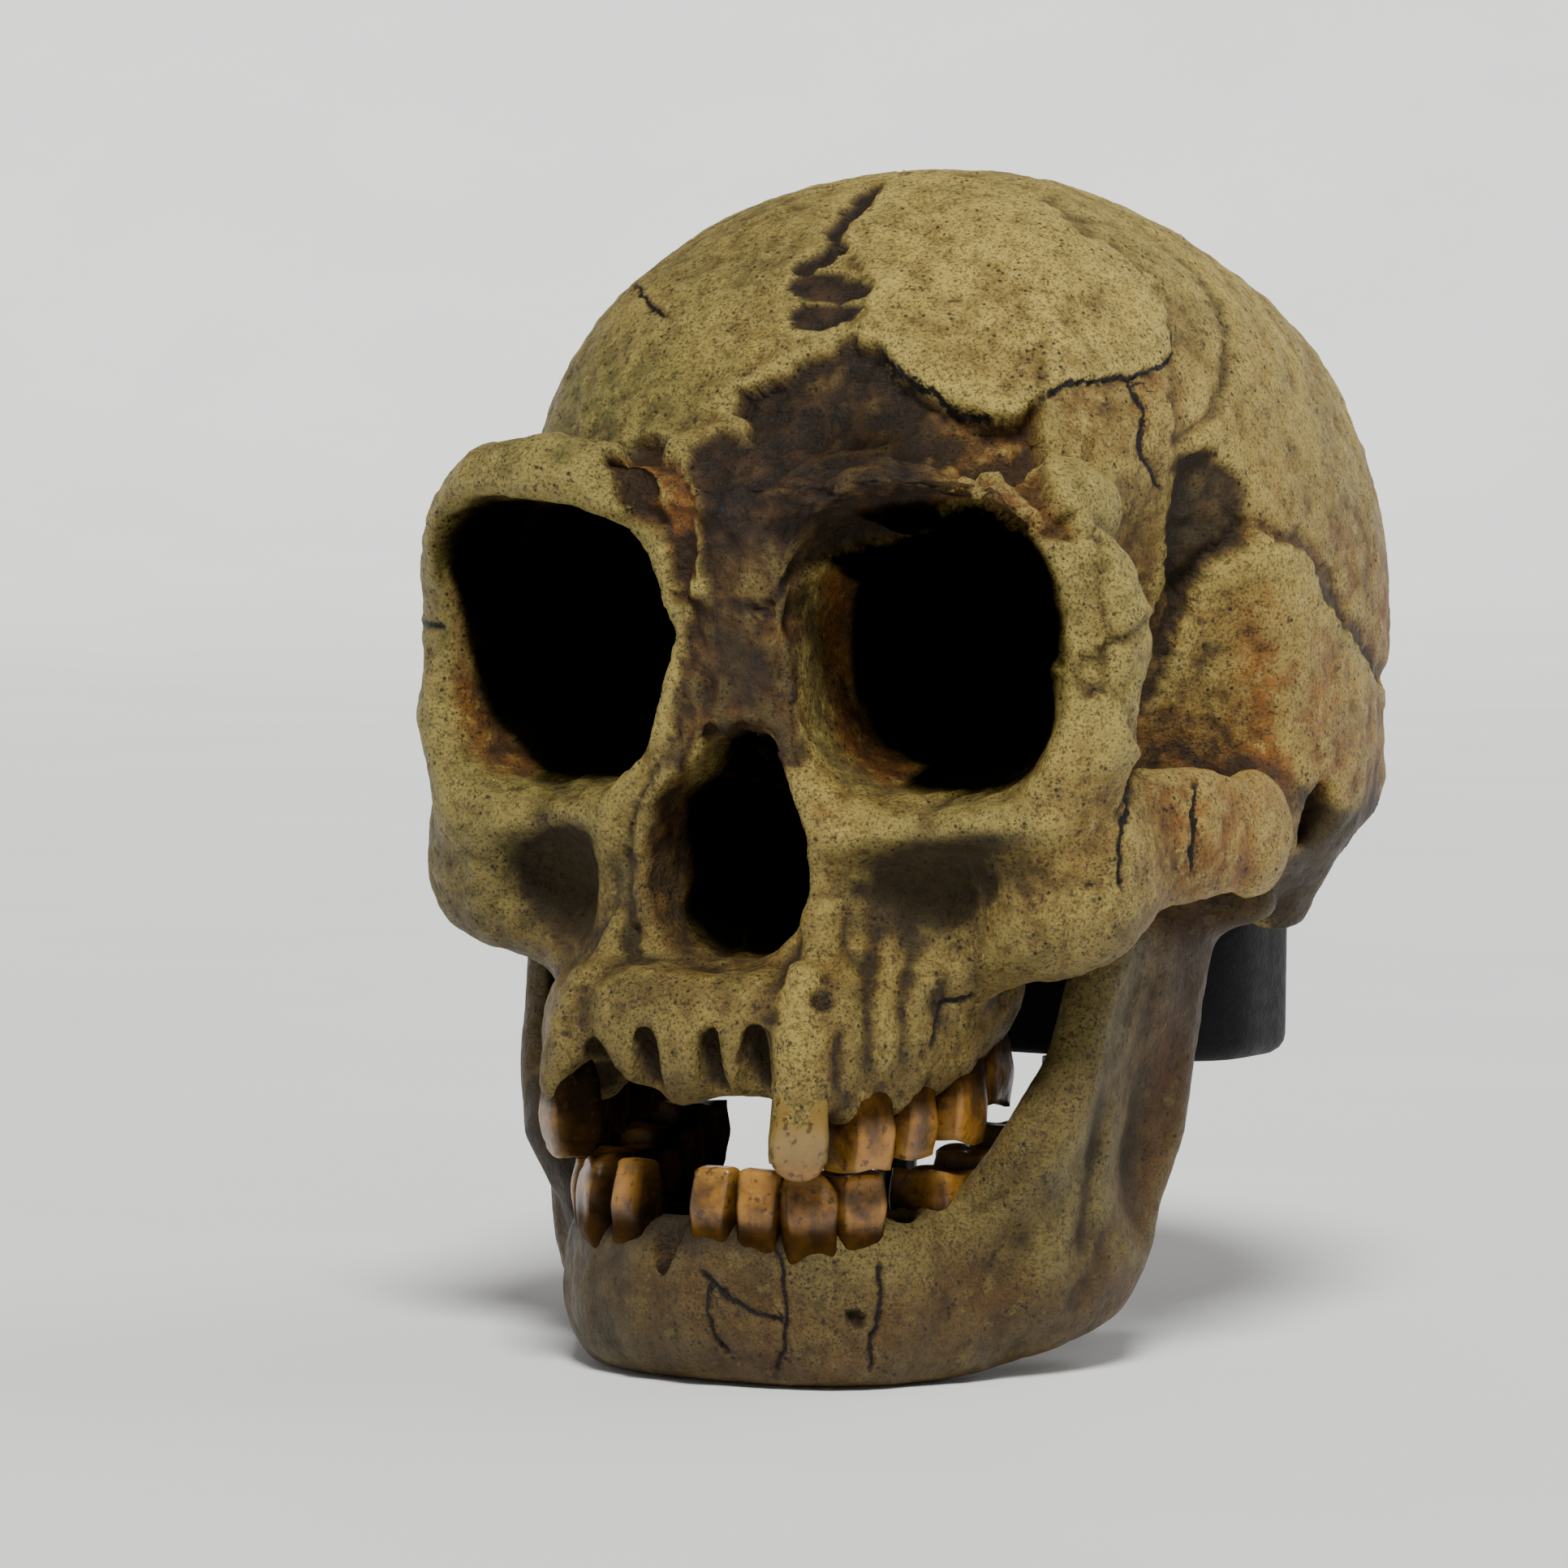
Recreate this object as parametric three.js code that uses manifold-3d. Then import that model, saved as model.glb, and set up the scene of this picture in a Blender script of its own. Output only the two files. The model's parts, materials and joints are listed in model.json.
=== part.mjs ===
// A small fossil hominin skull with its lower jaw, at life size, on a plain display stand.
// Millimetres, +Z up. The face looks along -Y and the skull's own left is +X.
// The forms are laid out from the lower edge of the nasal opening, and the whole is then
// set down so that the origin is the middle of its footprint, on the surface it rests on.
import * as THREE from "three";
import { mergeVertices } from "three/addons/utils/BufferGeometryUtils.js";
import Module from "manifold-3d";

const wasm = await Module();
wasm.setup();

// Driving sizes
const BRAINCASE = { halfWidth: 52.5, backY: 137, topZ: 100 };
const EYE_Z = 39.5;
const FLOOR_Z = -54.5;
const GAP = 0.3;
const CELL = { face: 4.2, vault: 8, jaw: 4.4 };
const HUGE = 600;

// Joining and carving with rounded seams: k is the width of the round, in mm
const join = (a, b, k) => {
  const h = Math.max(k - Math.abs(a - b), 0) / k;
  return Math.min(a, b) - (h * h * k) / 4;
};
const carve = (a, b, k) => -join(-a, b, k);
const clamp = (t) => Math.min(1, Math.max(0, t));

// Forms: each gives a function of x, y, z that is about the distance to its surface, negative inside.

// A lump with its own three radii; n above 2 makes it boxier, and turn is in degrees about X, Y and Z.
function lump(centre, radii, n = 2, turn = [0, 0, 0]) {
  const [cx, cy, cz] = centre;
  const [rx, ry, rz] = radii;
  const m = new THREE.Matrix4()
    .makeRotationFromEuler(new THREE.Euler(...turn.map(THREE.MathUtils.degToRad)))
    .transpose().elements;
  const least = Math.min(rx, ry, rz);
  return (x, y, z) => {
    const dx = x - cx;
    const dy = y - cy;
    const dz = z - cz;
    const u = Math.abs(m[0] * dx + m[4] * dy + m[8] * dz) / rx;
    const v = Math.abs(m[1] * dx + m[5] * dy + m[9] * dz) / ry;
    const w = Math.abs(m[2] * dx + m[6] * dy + m[10] * dz) / rz;
    const un = u ** (n - 1);
    const vn = v ** (n - 1);
    const wn = w ** (n - 1);
    const total = un * u + vn * v + wn * w;
    if (total < 1e-9) return -least;
    const r = total ** (1 / n);
    const slope = Math.hypot(un / rx, vn / ry, wn / rz) * r ** (1 - n);
    return (r - 1) / slope;
  };
}

// A bar along a line of points, with a radius at each; squash flattens it along X, Y or Z.
function bar(points, radii, squash = [1, 1, 1]) {
  const [sx, sy, sz] = squash;
  const p = points.map(([x, y, z]) => [x * sx, y * sy, z * sz]);
  const most = Math.max(sx, sy, sz);
  return (x, y, z) => {
    let best = 1e9;
    for (let i = 0; i + 1 < p.length; i++) {
      const [ax, ay, az] = p[i];
      const bx = p[i + 1][0] - ax;
      const by = p[i + 1][1] - ay;
      const bz = p[i + 1][2] - az;
      const dx = x * sx - ax;
      const dy = y * sy - ay;
      const dz = z * sz - az;
      const t = clamp((dx * bx + dy * by + dz * bz) / (bx * bx + by * by + bz * bz));
      const far = Math.hypot(dx - t * bx, dy - t * by, dz - t * bz);
      best = Math.min(best, far - radii[i] - t * (radii[i + 1] - radii[i]));
    }
    return best / most;
  };
}

// A hollow that narrows from its mouth to its end, with a mouth of half sizes across and up.
function socket(mouth, end, across, up, n, tilt = 0, narrow = 0.75) {
  const axis = new THREE.Vector3(...end).sub(new THREE.Vector3(...mouth));
  const deep = axis.length();
  axis.normalize();
  const side = new THREE.Vector3(0, 0, 1).cross(axis).negate().normalize();
  side.applyAxisAngle(axis, THREE.MathUtils.degToRad(tilt));
  const rise = new THREE.Vector3().crossVectors(axis, side).normalize();
  const least = Math.min(across, up);
  return (x, y, z) => {
    const q = new THREE.Vector3(x - mouth[0], y - mouth[1], z - mouth[2]);
    const w = q.dot(axis);
    const s = 1 - narrow * clamp(w / deep) ** 1.6;
    const u = Math.abs(q.dot(side)) / (across * s);
    const v = Math.abs(q.dot(rise)) / (up * s);
    const wall = ((u ** n + v ** n) ** (1 / n) - 1) * least * s;
    return -join(-wall, -(w - deep), 8);
  };
}

// A flat side: inside is behind the plane through a point, against its outward normal.
function plane(point, normal) {
  const n = new THREE.Vector3(...normal).normalize();
  const d = n.dot(new THREE.Vector3(...point));
  return (x, y, z) => n.x * x + n.y * y + n.z * z - d;
}

// The braincase: two boxy lumps, a receding forehead, a flat base and hollowed temples
const rearVault = lump([0, 79, 42], [BRAINCASE.halfWidth, BRAINCASE.backY - 79, BRAINCASE.topZ - 42], 2.15);
const frontVault = lump([0, 50, 45], [48, 46, 56], 2.4);
const forehead = plane([0, 19, 85], [0, -0.66, 0.75]);
const nuchal = plane([0, 104, 6], [0, 0.42, -0.91]);
const base = plane([0, 60, 2], [0, 0, -1]);
const earRegion = lump([43, 73, 21], [11.5, 24, 12], 2.2);
const mastoid = bar([[44, 76, 16], [43, 79, 2]], [8, 4.6]);
const temple = lump([58, 36, 33], [22, 21, 38], 2.2, [0, 8, 0]);
const underTemple = lump([38, 38, -4], [22, 18, 19], 2.2);
const earHole = bar([[60, 67, 17], [44, 68, 17]], [3.4, 2.4]);
const jawSocket = lump([44, 57, 5], [11, 7, 6], 2);

// The face
const browRidge = bar(
  [[0, 4, 59], [12, 2, 60], [24, 1, 61], [34, 3, 59.5], [41, 8.5, 55], [46, 13.5, 48], [47, 16, 41]],
  [5, 5.2, 5.8, 6, 6.2, 5.4, 4.8],
);
const orbitRim = bar(
  [[47, 16, 41], [47, 14, 30], [41, 10.5, 18], [28, 7.5, 14.6], [16, 5.5, 17], [9.5, 6, 24], [7, 7, 38], [8, 5, 52]],
  [4.8, 5.4, 5.6, 4.4, 4, 3.4, 3.4, 4.2],
);
const noseBridge = bar([[0, 7, 58], [0, 8.5, 42], [0, 9, 31]], [8, 7, 7], [0.8, 1.1, 1]);
const cheek = lump([40, 17, 12], [13, 9.5, 13], 2.4, [0, 0, 28]);
const cheekFoot = bar([[28, 15, 1], [38, 17, 5], [46, 24, 11]], [5.5, 5, 5.2]);
const upperJaw = lump([0, 27, 10], [30, 25, 24], 2.8);
const toothRidge = bar(
  [[0, -2.4, -10], [8, -1.8, -10], [17, 1.4, -10.5], [21.6, 8, -10], [24, 16, -8.5], [24.6, 26, -5]],
  [6.2, 6.4, 6.6, 6.6, 6.4, 6],
  [1, 1, 0.72],
);
const canineRoot = bar([[18, -3.4, -14], [15.4, 2.6, 4]], [3.6, 1.6]);
const cheekHollow = lump([27, -1, 6], [11, 6.5, 8], 2.2, [0, 0, 18]);
const eyeWall = lump([37.5, 26, 36], [4.6, 15, 22], 2.6, [0, 0, 33]);
const eyeSocket = socket([29, 0, EYE_Z], [12.5, 46, 37], 18.4, 19.2, 2.7, -5, 0.85);
const noseHole = socket([0.6, -6, 12], [0.6, 30, 12], 12.8, 13, 2.4, 0, 0.45);
const noseTop = socket([0.8, -6, 20], [2, 27, 18.6], 6.6, 10.5, 2.6, 0, 0.45);
const toothGaps = [lump([6.8, -6, -21.6], [8.2, 9, 5], 2.6), lump([-13, -5, -20.4], [5.2, 9, 7], 2.4)];
const palate = lump([0, 19, -20], [16.4, 19, 12], 2.4);
const behindPalate = lump([0, 54, -19], [24, 22, 20], 2.4);
const skullCore = lump([0, 46, 30], [27, 32, 26], 2.6);
const wing = bar([[13, 37, 12], [14, 39, -4]], [4.5, 3], [1, 0.8, 1]);
const neckKnob = lump([12, 78, 1], [5.5, 9, 5], 2, [0, 0, 20]);
const spinalHole = lump([0, 88, -1], [12, 14, 13], 2.2);

// What is broken away: the brow over the nose and left eye, and a trough across the right brow
const brokenBrow = bar([[1, -3, 67], [12, -3.5, 71], [24, -2, 72], [34, 3, 67]], [4, 7.5, 7.5, 5]);
const browTrough = bar([[-13, -4, 64], [-10, -3.5, 48]], [3, 2.4]);

// The cheek arch
const arch = bar(
  [[40, 19, 13], [47, 28, 15.5], [51.5, 38, 16], [53.3, 47, 15.5], [53, 54, 16], [50, 62, 18]],
  [7.6, 8, 7.2, 5.8, 5.8, 5],
  [2, 1, 0.86],
);
const archRoot = lump([52, 55, 16], [5, 7.5, 8], 2.2, [0, 0, -8]);

function cranium(x, y, z) {
  const side = Math.abs(x);
  let d = join(rearVault(x, y, z), frontVault(x, y, z), 16);
  d = carve(d, -forehead(x, y, z), 14);
  d = carve(d, -nuchal(x, y, z), 14);
  d = carve(d, -base(x, y, z), 8);
  d = join(d, earRegion(side, y, z), 8);
  d = carve(d, temple(side, y, z), 7);
  d = join(d, skullCore(side, y, z), 8);
  d = carve(d, underTemple(side, y, z), 8);
  d = join(d, mastoid(side, y, z), 5);
  d = join(d, neckKnob(side, y, z), 4);
  d = join(d, upperJaw(side, y, z), 8);
  d = join(d, toothRidge(side, y, z), 6);
  d = join(d, cheek(side, y, z), 7);
  d = join(d, cheekFoot(side, y, z), 5);
  d = join(d, browRidge(side, y, z), 7);
  d = join(d, orbitRim(side, y, z), 4);
  d = join(d, eyeWall(side, y, z), 4);
  d = join(d, noseBridge(side, y, z), 5);
  d = join(d, canineRoot(side, y, z), 3);
  d = carve(d, cheekHollow(side, y, z), 5);
  d = carve(d, palate(side, y, z), 4);
  d = carve(d, behindPalate(side, y, z), 5);
  d = join(d, wing(side, y, z), 3);
  d = carve(d, brokenBrow(x, y, z), 4);
  d = carve(d, browTrough(x, y, z), 2);
  d = carve(d, eyeSocket(side, y, z), 2);
  d = carve(d, noseHole(x, y, z), 1.5);
  d = carve(d, noseTop(x, y, z), 2);
  for (const gap of toothGaps) d = carve(d, gap(x, y, z), 1.5);
  d = join(d, arch(side, y, z), 3);
  d = join(d, archRoot(side, y, z), 3);
  d = carve(d, jawSocket(side, y, z), 3);
  d = carve(d, earHole(side, y, z), 2);
  return carve(d, spinalHole(side, y, z), 4);
}

// The lower jaw: a horseshoe body, and on each side a flat branch with its two processes
const jawBody = bar(
  [[0, 1, -44], [8, 2, -44], [14.5, 5, -44], [19.5, 11, -43.5], [24, 20, -43], [29, 31, -40.5], [33, 40, -37]],
  [6.4, 6.4, 6.6, 7, 7, 7.2, 7],
  [1, 1, 0.66],
);
const jawSill = bar(
  [[0, 7, -48.5], [9, 8, -49], [16, 12, -49], [22, 19, -48], [29, 31, -44.5], [34.5, 42, -38.5]],
  [6, 6, 6, 5.4, 5.2, 5],
);
const branch = bar([[35, 35, -33], [39, 38, -18], [40.5, 39, -2], [41, 38.5, 7]], [13, 12.5, 9.5, 4], [2.7, 1, 1]);
const branchBack = bar([[35.5, 45, -34], [39.5, 48, -21], [41.5, 51, -8], [43, 55, 4]], [8.6, 8, 6.4, 4.4], [2.4, 1, 1]);
const condyle = lump([44, 56.5, 6.5], [9, 4.2, 4], 2.2, [0, 0, 12]);
const obliqueLine = bar([[41.5, 31, 3], [39.5, 27, -14], [35, 22, -25], [28, 20, -34]], [3, 3.8, 4.4, 4]);
const toothBed = bar(
  [[0, -1, -38], [8, 0, -38], [14, 3.2, -38], [18.6, 9, -38], [22.4, 20, -37.6], [24.6, 30, -36], [26, 38, -34]],
  [4, 4, 4.4, 4.8, 5.2, 5.2, 5],
);
const branchHollow = lump([47, 41, -21], [6, 8, 16], 2.2, [0, 14, 0]);

function mandible(x, y, z) {
  const side = Math.abs(x);
  let d = jawBody(side, y, z);
  d = join(d, jawSill(side, y, z), 6);
  d = join(d, branch(side, y, z), 5);
  d = join(d, branchBack(side, y, z), 5);
  d = join(d, condyle(side, y, z), 3.5);
  d = join(d, obliqueLine(side, y, z), 4);
  d = join(d, toothBed(side, y, z), 3);
  d = carve(d, branchHollow(side, y, z), 4);
  return carve(d, z - FLOOR_Z, 1.5);
}

// A closed skin of four-sided faces round a field, one point in each cell that the surface crosses.
// xs, ys and zs are the grid's lines, closer together where the shape is finer.
function skinOf(field, xs, ys, zs) {
  const [nx, ny, nz] = [xs.length, ys.length, zs.length];
  const at = (i, j, k) => (i * ny + j) * nz + k;
  const value = new Float32Array(nx * ny * nz);
  for (let i = 0; i < nx; i++)
    for (let j = 0; j < ny; j++)
      for (let k = 0; k < nz; k++) value[at(i, j, k)] = field(xs[i], ys[j], zs[k]);
  const points = [];
  const index = new Map();
  const corners = [0, 1, 2, 3, 4, 5, 6, 7].map((c) => [c & 1, (c >> 1) & 1, c >> 2]);
  const edges = [];
  for (let a = 0; a < 8; a++)
    for (const bit of [1, 2, 4]) if (!(a & bit)) edges.push([a, a | bit]);
  for (let i = 0; i + 1 < nx; i++)
    for (let j = 0; j + 1 < ny; j++)
      for (let k = 0; k + 1 < nz; k++) {
        const v = corners.map(([a, b, c]) => value[at(i + a, j + b, k + c)]);
        const sum = new THREE.Vector3();
        let crossed = 0;
        for (const [a, b] of edges) {
          if (v[a] < 0 === v[b] < 0) continue;
          const t = v[a] / (v[a] - v[b]);
          const [p, q] = [corners[a], corners[b]];
          sum.x += xs[i + p[0]] + t * (xs[i + q[0]] - xs[i + p[0]]);
          sum.y += ys[j + p[1]] + t * (ys[j + q[1]] - ys[j + p[1]]);
          sum.z += zs[k + p[2]] + t * (zs[k + q[2]] - zs[k + p[2]]);
          crossed++;
        }
        if (!crossed) continue;
        index.set(at(i, j, k), points.length);
        points.push(sum.divideScalar(crossed));
      }
  for (const p of points) settle(field, p);
  const faces = [];
  const quad = (a, b, c, d, flip) => {
    const q = [a, b, c, d].map((key) => index.get(key));
    if (flip) q.reverse();
    const [p0, p1, p2, p3] = q.map((n) => points[n]);
    const split = p0.distanceTo(p2) < p1.distanceTo(p3);
    faces.push(...(split ? [q[0], q[1], q[2], q[0], q[2], q[3]] : [q[1], q[2], q[3], q[1], q[3], q[0]]));
  };
  for (let i = 1; i + 1 < nx; i++)
    for (let j = 1; j + 1 < ny; j++)
      for (let k = 1; k + 1 < nz; k++) {
        const inside = value[at(i, j, k)] < 0;
        if (inside !== value[at(i + 1, j, k)] < 0)
          quad(at(i, j - 1, k - 1), at(i, j, k - 1), at(i, j, k), at(i, j - 1, k), !inside);
        if (inside !== value[at(i, j + 1, k)] < 0)
          quad(at(i - 1, j, k - 1), at(i - 1, j, k), at(i, j, k), at(i, j, k - 1), !inside);
        if (inside !== value[at(i, j, k + 1)] < 0)
          quad(at(i - 1, j - 1, k), at(i, j - 1, k), at(i, j, k), at(i - 1, j, k), !inside);
      }
  const geometry = new THREE.BufferGeometry().setFromPoints(points);
  geometry.setIndex(faces);
  return geometry;
}

// Moves a point onto the surface along the field's slope.
function settle(field, p) {
  const e = 0.2;
  for (let step = 0; step < 3; step++) {
    const d = field(p.x, p.y, p.z);
    const g = new THREE.Vector3(
      field(p.x + e, p.y, p.z) - field(p.x - e, p.y, p.z),
      field(p.x, p.y + e, p.z) - field(p.x, p.y - e, p.z),
      field(p.x, p.y, p.z + e) - field(p.x, p.y, p.z - e),
    ).divideScalar(2 * e);
    const size = Math.max(g.lengthSq(), 0.3);
    p.addScaledVector(g, -Math.max(-0.8, Math.min(0.8, d / size)));
  }
}

// Grid lines from low to high, with a step that is a function of place.
function lines(low, high, step) {
  const at = [low];
  while (at[at.length - 1] < high) at.push(at[at.length - 1] + step(at[at.length - 1]));
  return at;
}

const mirrored = (half) => [...half.slice().reverse().map((v) => -v), ...half];
const craniumGrid = [
  mirrored(lines(2.3, 62, () => 1.05 * CELL.face)),
  lines(-17.1, 148, (y) => (y < 34 ? CELL.face : CELL.vault)),
  lines(-28.8, 108, (z) => (z < 64 ? CELL.face : CELL.vault)),
];
const jawGrid = [
  mirrored(lines(2, 60, () => CELL.jaw)),
  lines(-16.2, 68, () => CELL.jaw),
  lines(FLOOR_Z - 1.1 * CELL.jaw, 20, () => CELL.jaw),
];

// Closed geometry to solid and back; a cut piece keeps only its largest closed surface.
function solid(geometry) {
  const bare = geometry.clone();
  for (const name of Object.keys(bare.attributes)) if (name !== "position") bare.deleteAttribute(name);
  const merged = mergeVertices(bare, 1e-3);
  const index = [];
  const all = merged.index.array;
  for (let i = 0; i < all.length; i += 3) {
    const [a, b, c] = all.slice(i, i + 3);
    if (a !== b && b !== c && c !== a) index.push(a, b, c);
  }
  return new wasm.Manifold(
    new wasm.Mesh({
      numProp: 3,
      vertProperties: Float32Array.from(merged.attributes.position.array),
      triVerts: Uint32Array.from(index),
    }),
  );
}
const largest = (body) => body.decompose().reduce((a, b) => (a.volume() > b.volume() ? a : b));
function geometryOf(body) {
  const mesh = body.getMesh();
  const geometry = new THREE.BufferGeometry();
  geometry.setAttribute("position", new THREE.BufferAttribute(Float32Array.from(mesh.vertProperties), 3));
  geometry.setIndex([...mesh.triVerts]);
  return geometry;
}

// Regions for parting the cranium. Each grows by grow on every side, which leaves the thin cuts.
// A half space is a large box behind a plane through a point, with its outward normal.
function halfSpace(point, normal) {
  return (grow) => {
    const n = new THREE.Vector3(...normal).normalize();
    const box = new THREE.BoxGeometry(HUGE, HUGE, HUGE);
    box.translate(0, 0, -HUGE / 2 + grow);
    box.applyQuaternion(new THREE.Quaternion().setFromUnitVectors(new THREE.Vector3(0, 0, 1), n));
    return solid(box.translate(...point));
  };
}
function block(low, high) {
  return (grow) => {
    const size = high.map((v, i) => v - low[i] + 2 * grow);
    const box = new THREE.BoxGeometry(...size);
    return solid(box.translate(...low.map((v, i) => (v + high[i]) / 2)));
  };
}
function dome(centre, radii) {
  return (grow) => {
    const ball = new THREE.SphereGeometry(1, 20, 12);
    ball.scale(...radii.map((r) => r + grow));
    return solid(ball.translate(...centre));
  };
}
const allOf = (...parts) => (grow) => parts.map((p) => p(grow)).reduce((a, b) => a.intersect(b));
const anyOf = (...parts) => (grow) => parts.map((p) => p(grow)).reduce((a, b) => a.add(b));

function boneRegions(s) {
  const cheekFront = allOf(
    halfSpace([s * 27, 10, 22], [-s * 0.86, 0, -0.5]),
    block([Math.min(s * 20, s * 70), -30, -30], [Math.max(s * 20, s * 70), 21, 46]),
  );
  const cheekArch = block([Math.min(s * 41, s * 70), 15, -20], [Math.max(s * 41, s * 70), 37, 29]);
  const ear = allOf(
    dome([s * 50, 66, 12], [33, 34, 40]),
    halfSpace([s * 28, 60, 0], [-s, 0, 0]),
    halfSpace([s * 40, 97, 20], [0, 0.78, -0.63]),
    halfSpace([0, 38, 0], [0, -1, 0]),
  );
  return { cheek: anyOf(cheekFront, cheekArch), ear };
}
const [left, right] = [boneRegions(1), boneRegions(-1)];
const faceRegion = allOf(halfSpace([0, 4, 46.5], [0, 0.65, 0.76]), halfSpace([0, 44, 0], [0, 1, 0]));
const coreRegion = allOf(halfSpace([0, 30, 43], [0, 0.2, 0.98]), halfSpace([0, 58, 0], [0, 1, 0]));
const foreheadRegion = halfSpace([0, 50, 104], [0, 0.957, -0.29]);
const backRegion = anyOf(
  halfSpace([0, 100, 20], [0, -0.777, 0.629]),
  block([-28.5, 56, -30], [28.5, 110, 16]),
);

// Takes the bones off the cranium one after another; what is left is the pair of parietals.
function partCranium(whole) {
  const bones = {};
  let rest = whole;
  const take = (name, region) => {
    bones[name] = largest(rest.intersect(region(0)));
    rest = rest.subtract(region(GAP));
  };
  take("zygomatic_left", left.cheek);
  take("zygomatic_right", right.cheek);
  take("maxilla", faceRegion);
  take("temporal_left", left.ear);
  take("temporal_right", right.ear);
  take("sphenoid", coreRegion);
  take("frontal", foreheadRegion);
  take("occipital", backRegion);
  const half = halfSpace([-GAP / 2, 0, 0], [-1, 0, 0]);
  const otherHalf = halfSpace([GAP / 2, 0, 0], [1, 0, 0]);
  bones.parietal_left = largest(rest.subtract(otherHalf(0)));
  bones.parietal_right = largest(rest.subtract(half(0)));
  return bones;
}

// Teeth. Each is turned on its own axis from a root to its biting edge, then squared and set in place.
const TOOTH = {
  incisor: { wide: 5.8, deep: 6.4, tall: 8.2, root: 6, edge: 0.45 },
  canine: { wide: 8, deep: 8, tall: 9.6, root: 7, edge: 0.45 },
  premolar: { wide: 6.6, deep: 8.6, tall: 7.6, root: 6, edge: 0.7 },
  molar: { wide: 9.6, deep: 10, tall: 7, root: 6, edge: 0.8 },
};
const draw = seededDraw(7);
function seededDraw(seed) {
  let state = seed;
  return () => {
    state = (state * 16807) % 2147483647;
    return state / 2147483647;
  };
}
function toothGeometry(kind, up, worn) {
  const { wide, deep, tall, root, edge } = TOOTH[kind];
  const top = tall * worn;
  const profile = [
    [0, -root], [0.3, -root], [0.42, 0], [0.52, 0.7 * top], [0.44, top], [0, 0.95 * top],
  ];
  const shape = new THREE.LatheGeometry(profile.map(([r, h]) => new THREE.Vector2(r, h)), 7, Math.PI / 7);
  const at = shape.attributes.position;
  for (let i = 0; i < at.count; i++) {
    const rise = clamp((at.getY(i) - 0.4 * top) / (0.6 * top));
    const thin = 1 - (1 - edge) * rise;
    const narrow = kind === "canine" ? thin + 0.25 * rise : 1;
    at.setX(i, at.getX(i) * wide * narrow);
    at.setZ(i, at.getZ(i) * deep * thin);
  }
  return shape.rotateX(up ? Math.PI / 2 : -Math.PI / 2);
}
function setTooth([kind, x, y, z, turn, worn = 1], up) {
  const shape = toothGeometry(kind, up, worn * (0.96 + 0.08 * draw()));
  shape.rotateZ(THREE.MathUtils.degToRad(turn + 6 * (draw() - 0.5)));
  return solid(shape.translate(x, y, z));
}

// Where each tooth meets its jaw: x, y, z of the neck and the turn of its row, in degrees
const UPPER_TEETH = [
  ["canine", 16.2, -4.4, -17.5, 30, 0.95], ["canine", -18.8, -2.6, -17, -34],
  ["premolar", 20.4, 2.8, -18.2, 66, 1.1], ["premolar", -21.8, 3.8, -17.4, -68, 1.08],
  ["premolar", 22.9, 9.6, -17, 78, 1.05], ["premolar", -23.2, 10.4, -16.8, -80],
  ["molar", 24.6, 18.8, -16, 88, 1.1], ["molar", -24.2, 18.4, -15.6, -88, 1.08],
  ["molar", 25, 28.4, -12.4, 94], ["molar", -24.2, 27.8, -12.4, -94],
];
const LOWER_TEETH = [
  ["incisor", 2.7, -2.4, -34.8, 4], ["incisor", 8.8, -1.6, -35, 14], ["incisor", -9.4, -1.4, -34.6, -16],
  ["canine", 14.2, 1.2, -35, 38, 0.84], ["canine", -16, 1.8, -34.8, -42, 0.84],
  ["premolar", 17.9, 6, -35, 60], ["premolar", -19, 7, -34.8, -64], ["premolar", -21.2, 13.2, -34.9, -76],
  ["molar", 22.4, 20.4, -34.6, 80], ["molar", -22.6, 21, -34.6, -80],
  ["molar", 23.8, 29.4, -33.3, 82], ["molar", -24, 29.6, -33.3, -82],
  ["molar", 24.8, 37.6, -31.6, 84], ["molar", -25, 37.8, -31.6, -84],
];
// Empty tooth sockets: x, y, z of the mouth, radius and depth, the sign of depth giving the way in
const EMPTY_SOCKETS = {
  upper: [[10.3, -7, -17, 2.4, 7], [4.9, -8, -17, 2.4, 7], [-4.8, -8, -17, 2.6, 7], [-12.6, -5.6, -17, 3, 6]],
  lower: [[-3.6, -4, -33, 2.5, -9], [20.6, 12.4, -33, 3, -8]],
};
function emptySocket([x, y, z, radius, depth]) {
  const low = Math.min(z, z + depth);
  const profile = [[0, 0], [radius, 0], [radius * 0.9, Math.abs(depth) * 0.6], [0, Math.abs(depth)]];
  const shape = new THREE.LatheGeometry(profile.map(([r, h]) => new THREE.Vector2(r, h)), 8);
  shape.rotateX(depth > 0 ? Math.PI / 2 : -Math.PI / 2);
  shape.translate(0, 0, -Math.sign(depth) * 3);
  return solid(shape.scale(1, 1.3, 1.3).translate(x, y, z));
}
function withTeeth(jaw, teeth, sockets, up) {
  const cut = sockets.map(emptySocket).reduce((body, hole) => body.subtract(hole), jaw);
  return largest(teeth.map((t) => setTooth(t, up)).reduce((body, tooth) => body.add(tooth), cut));
}

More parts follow.
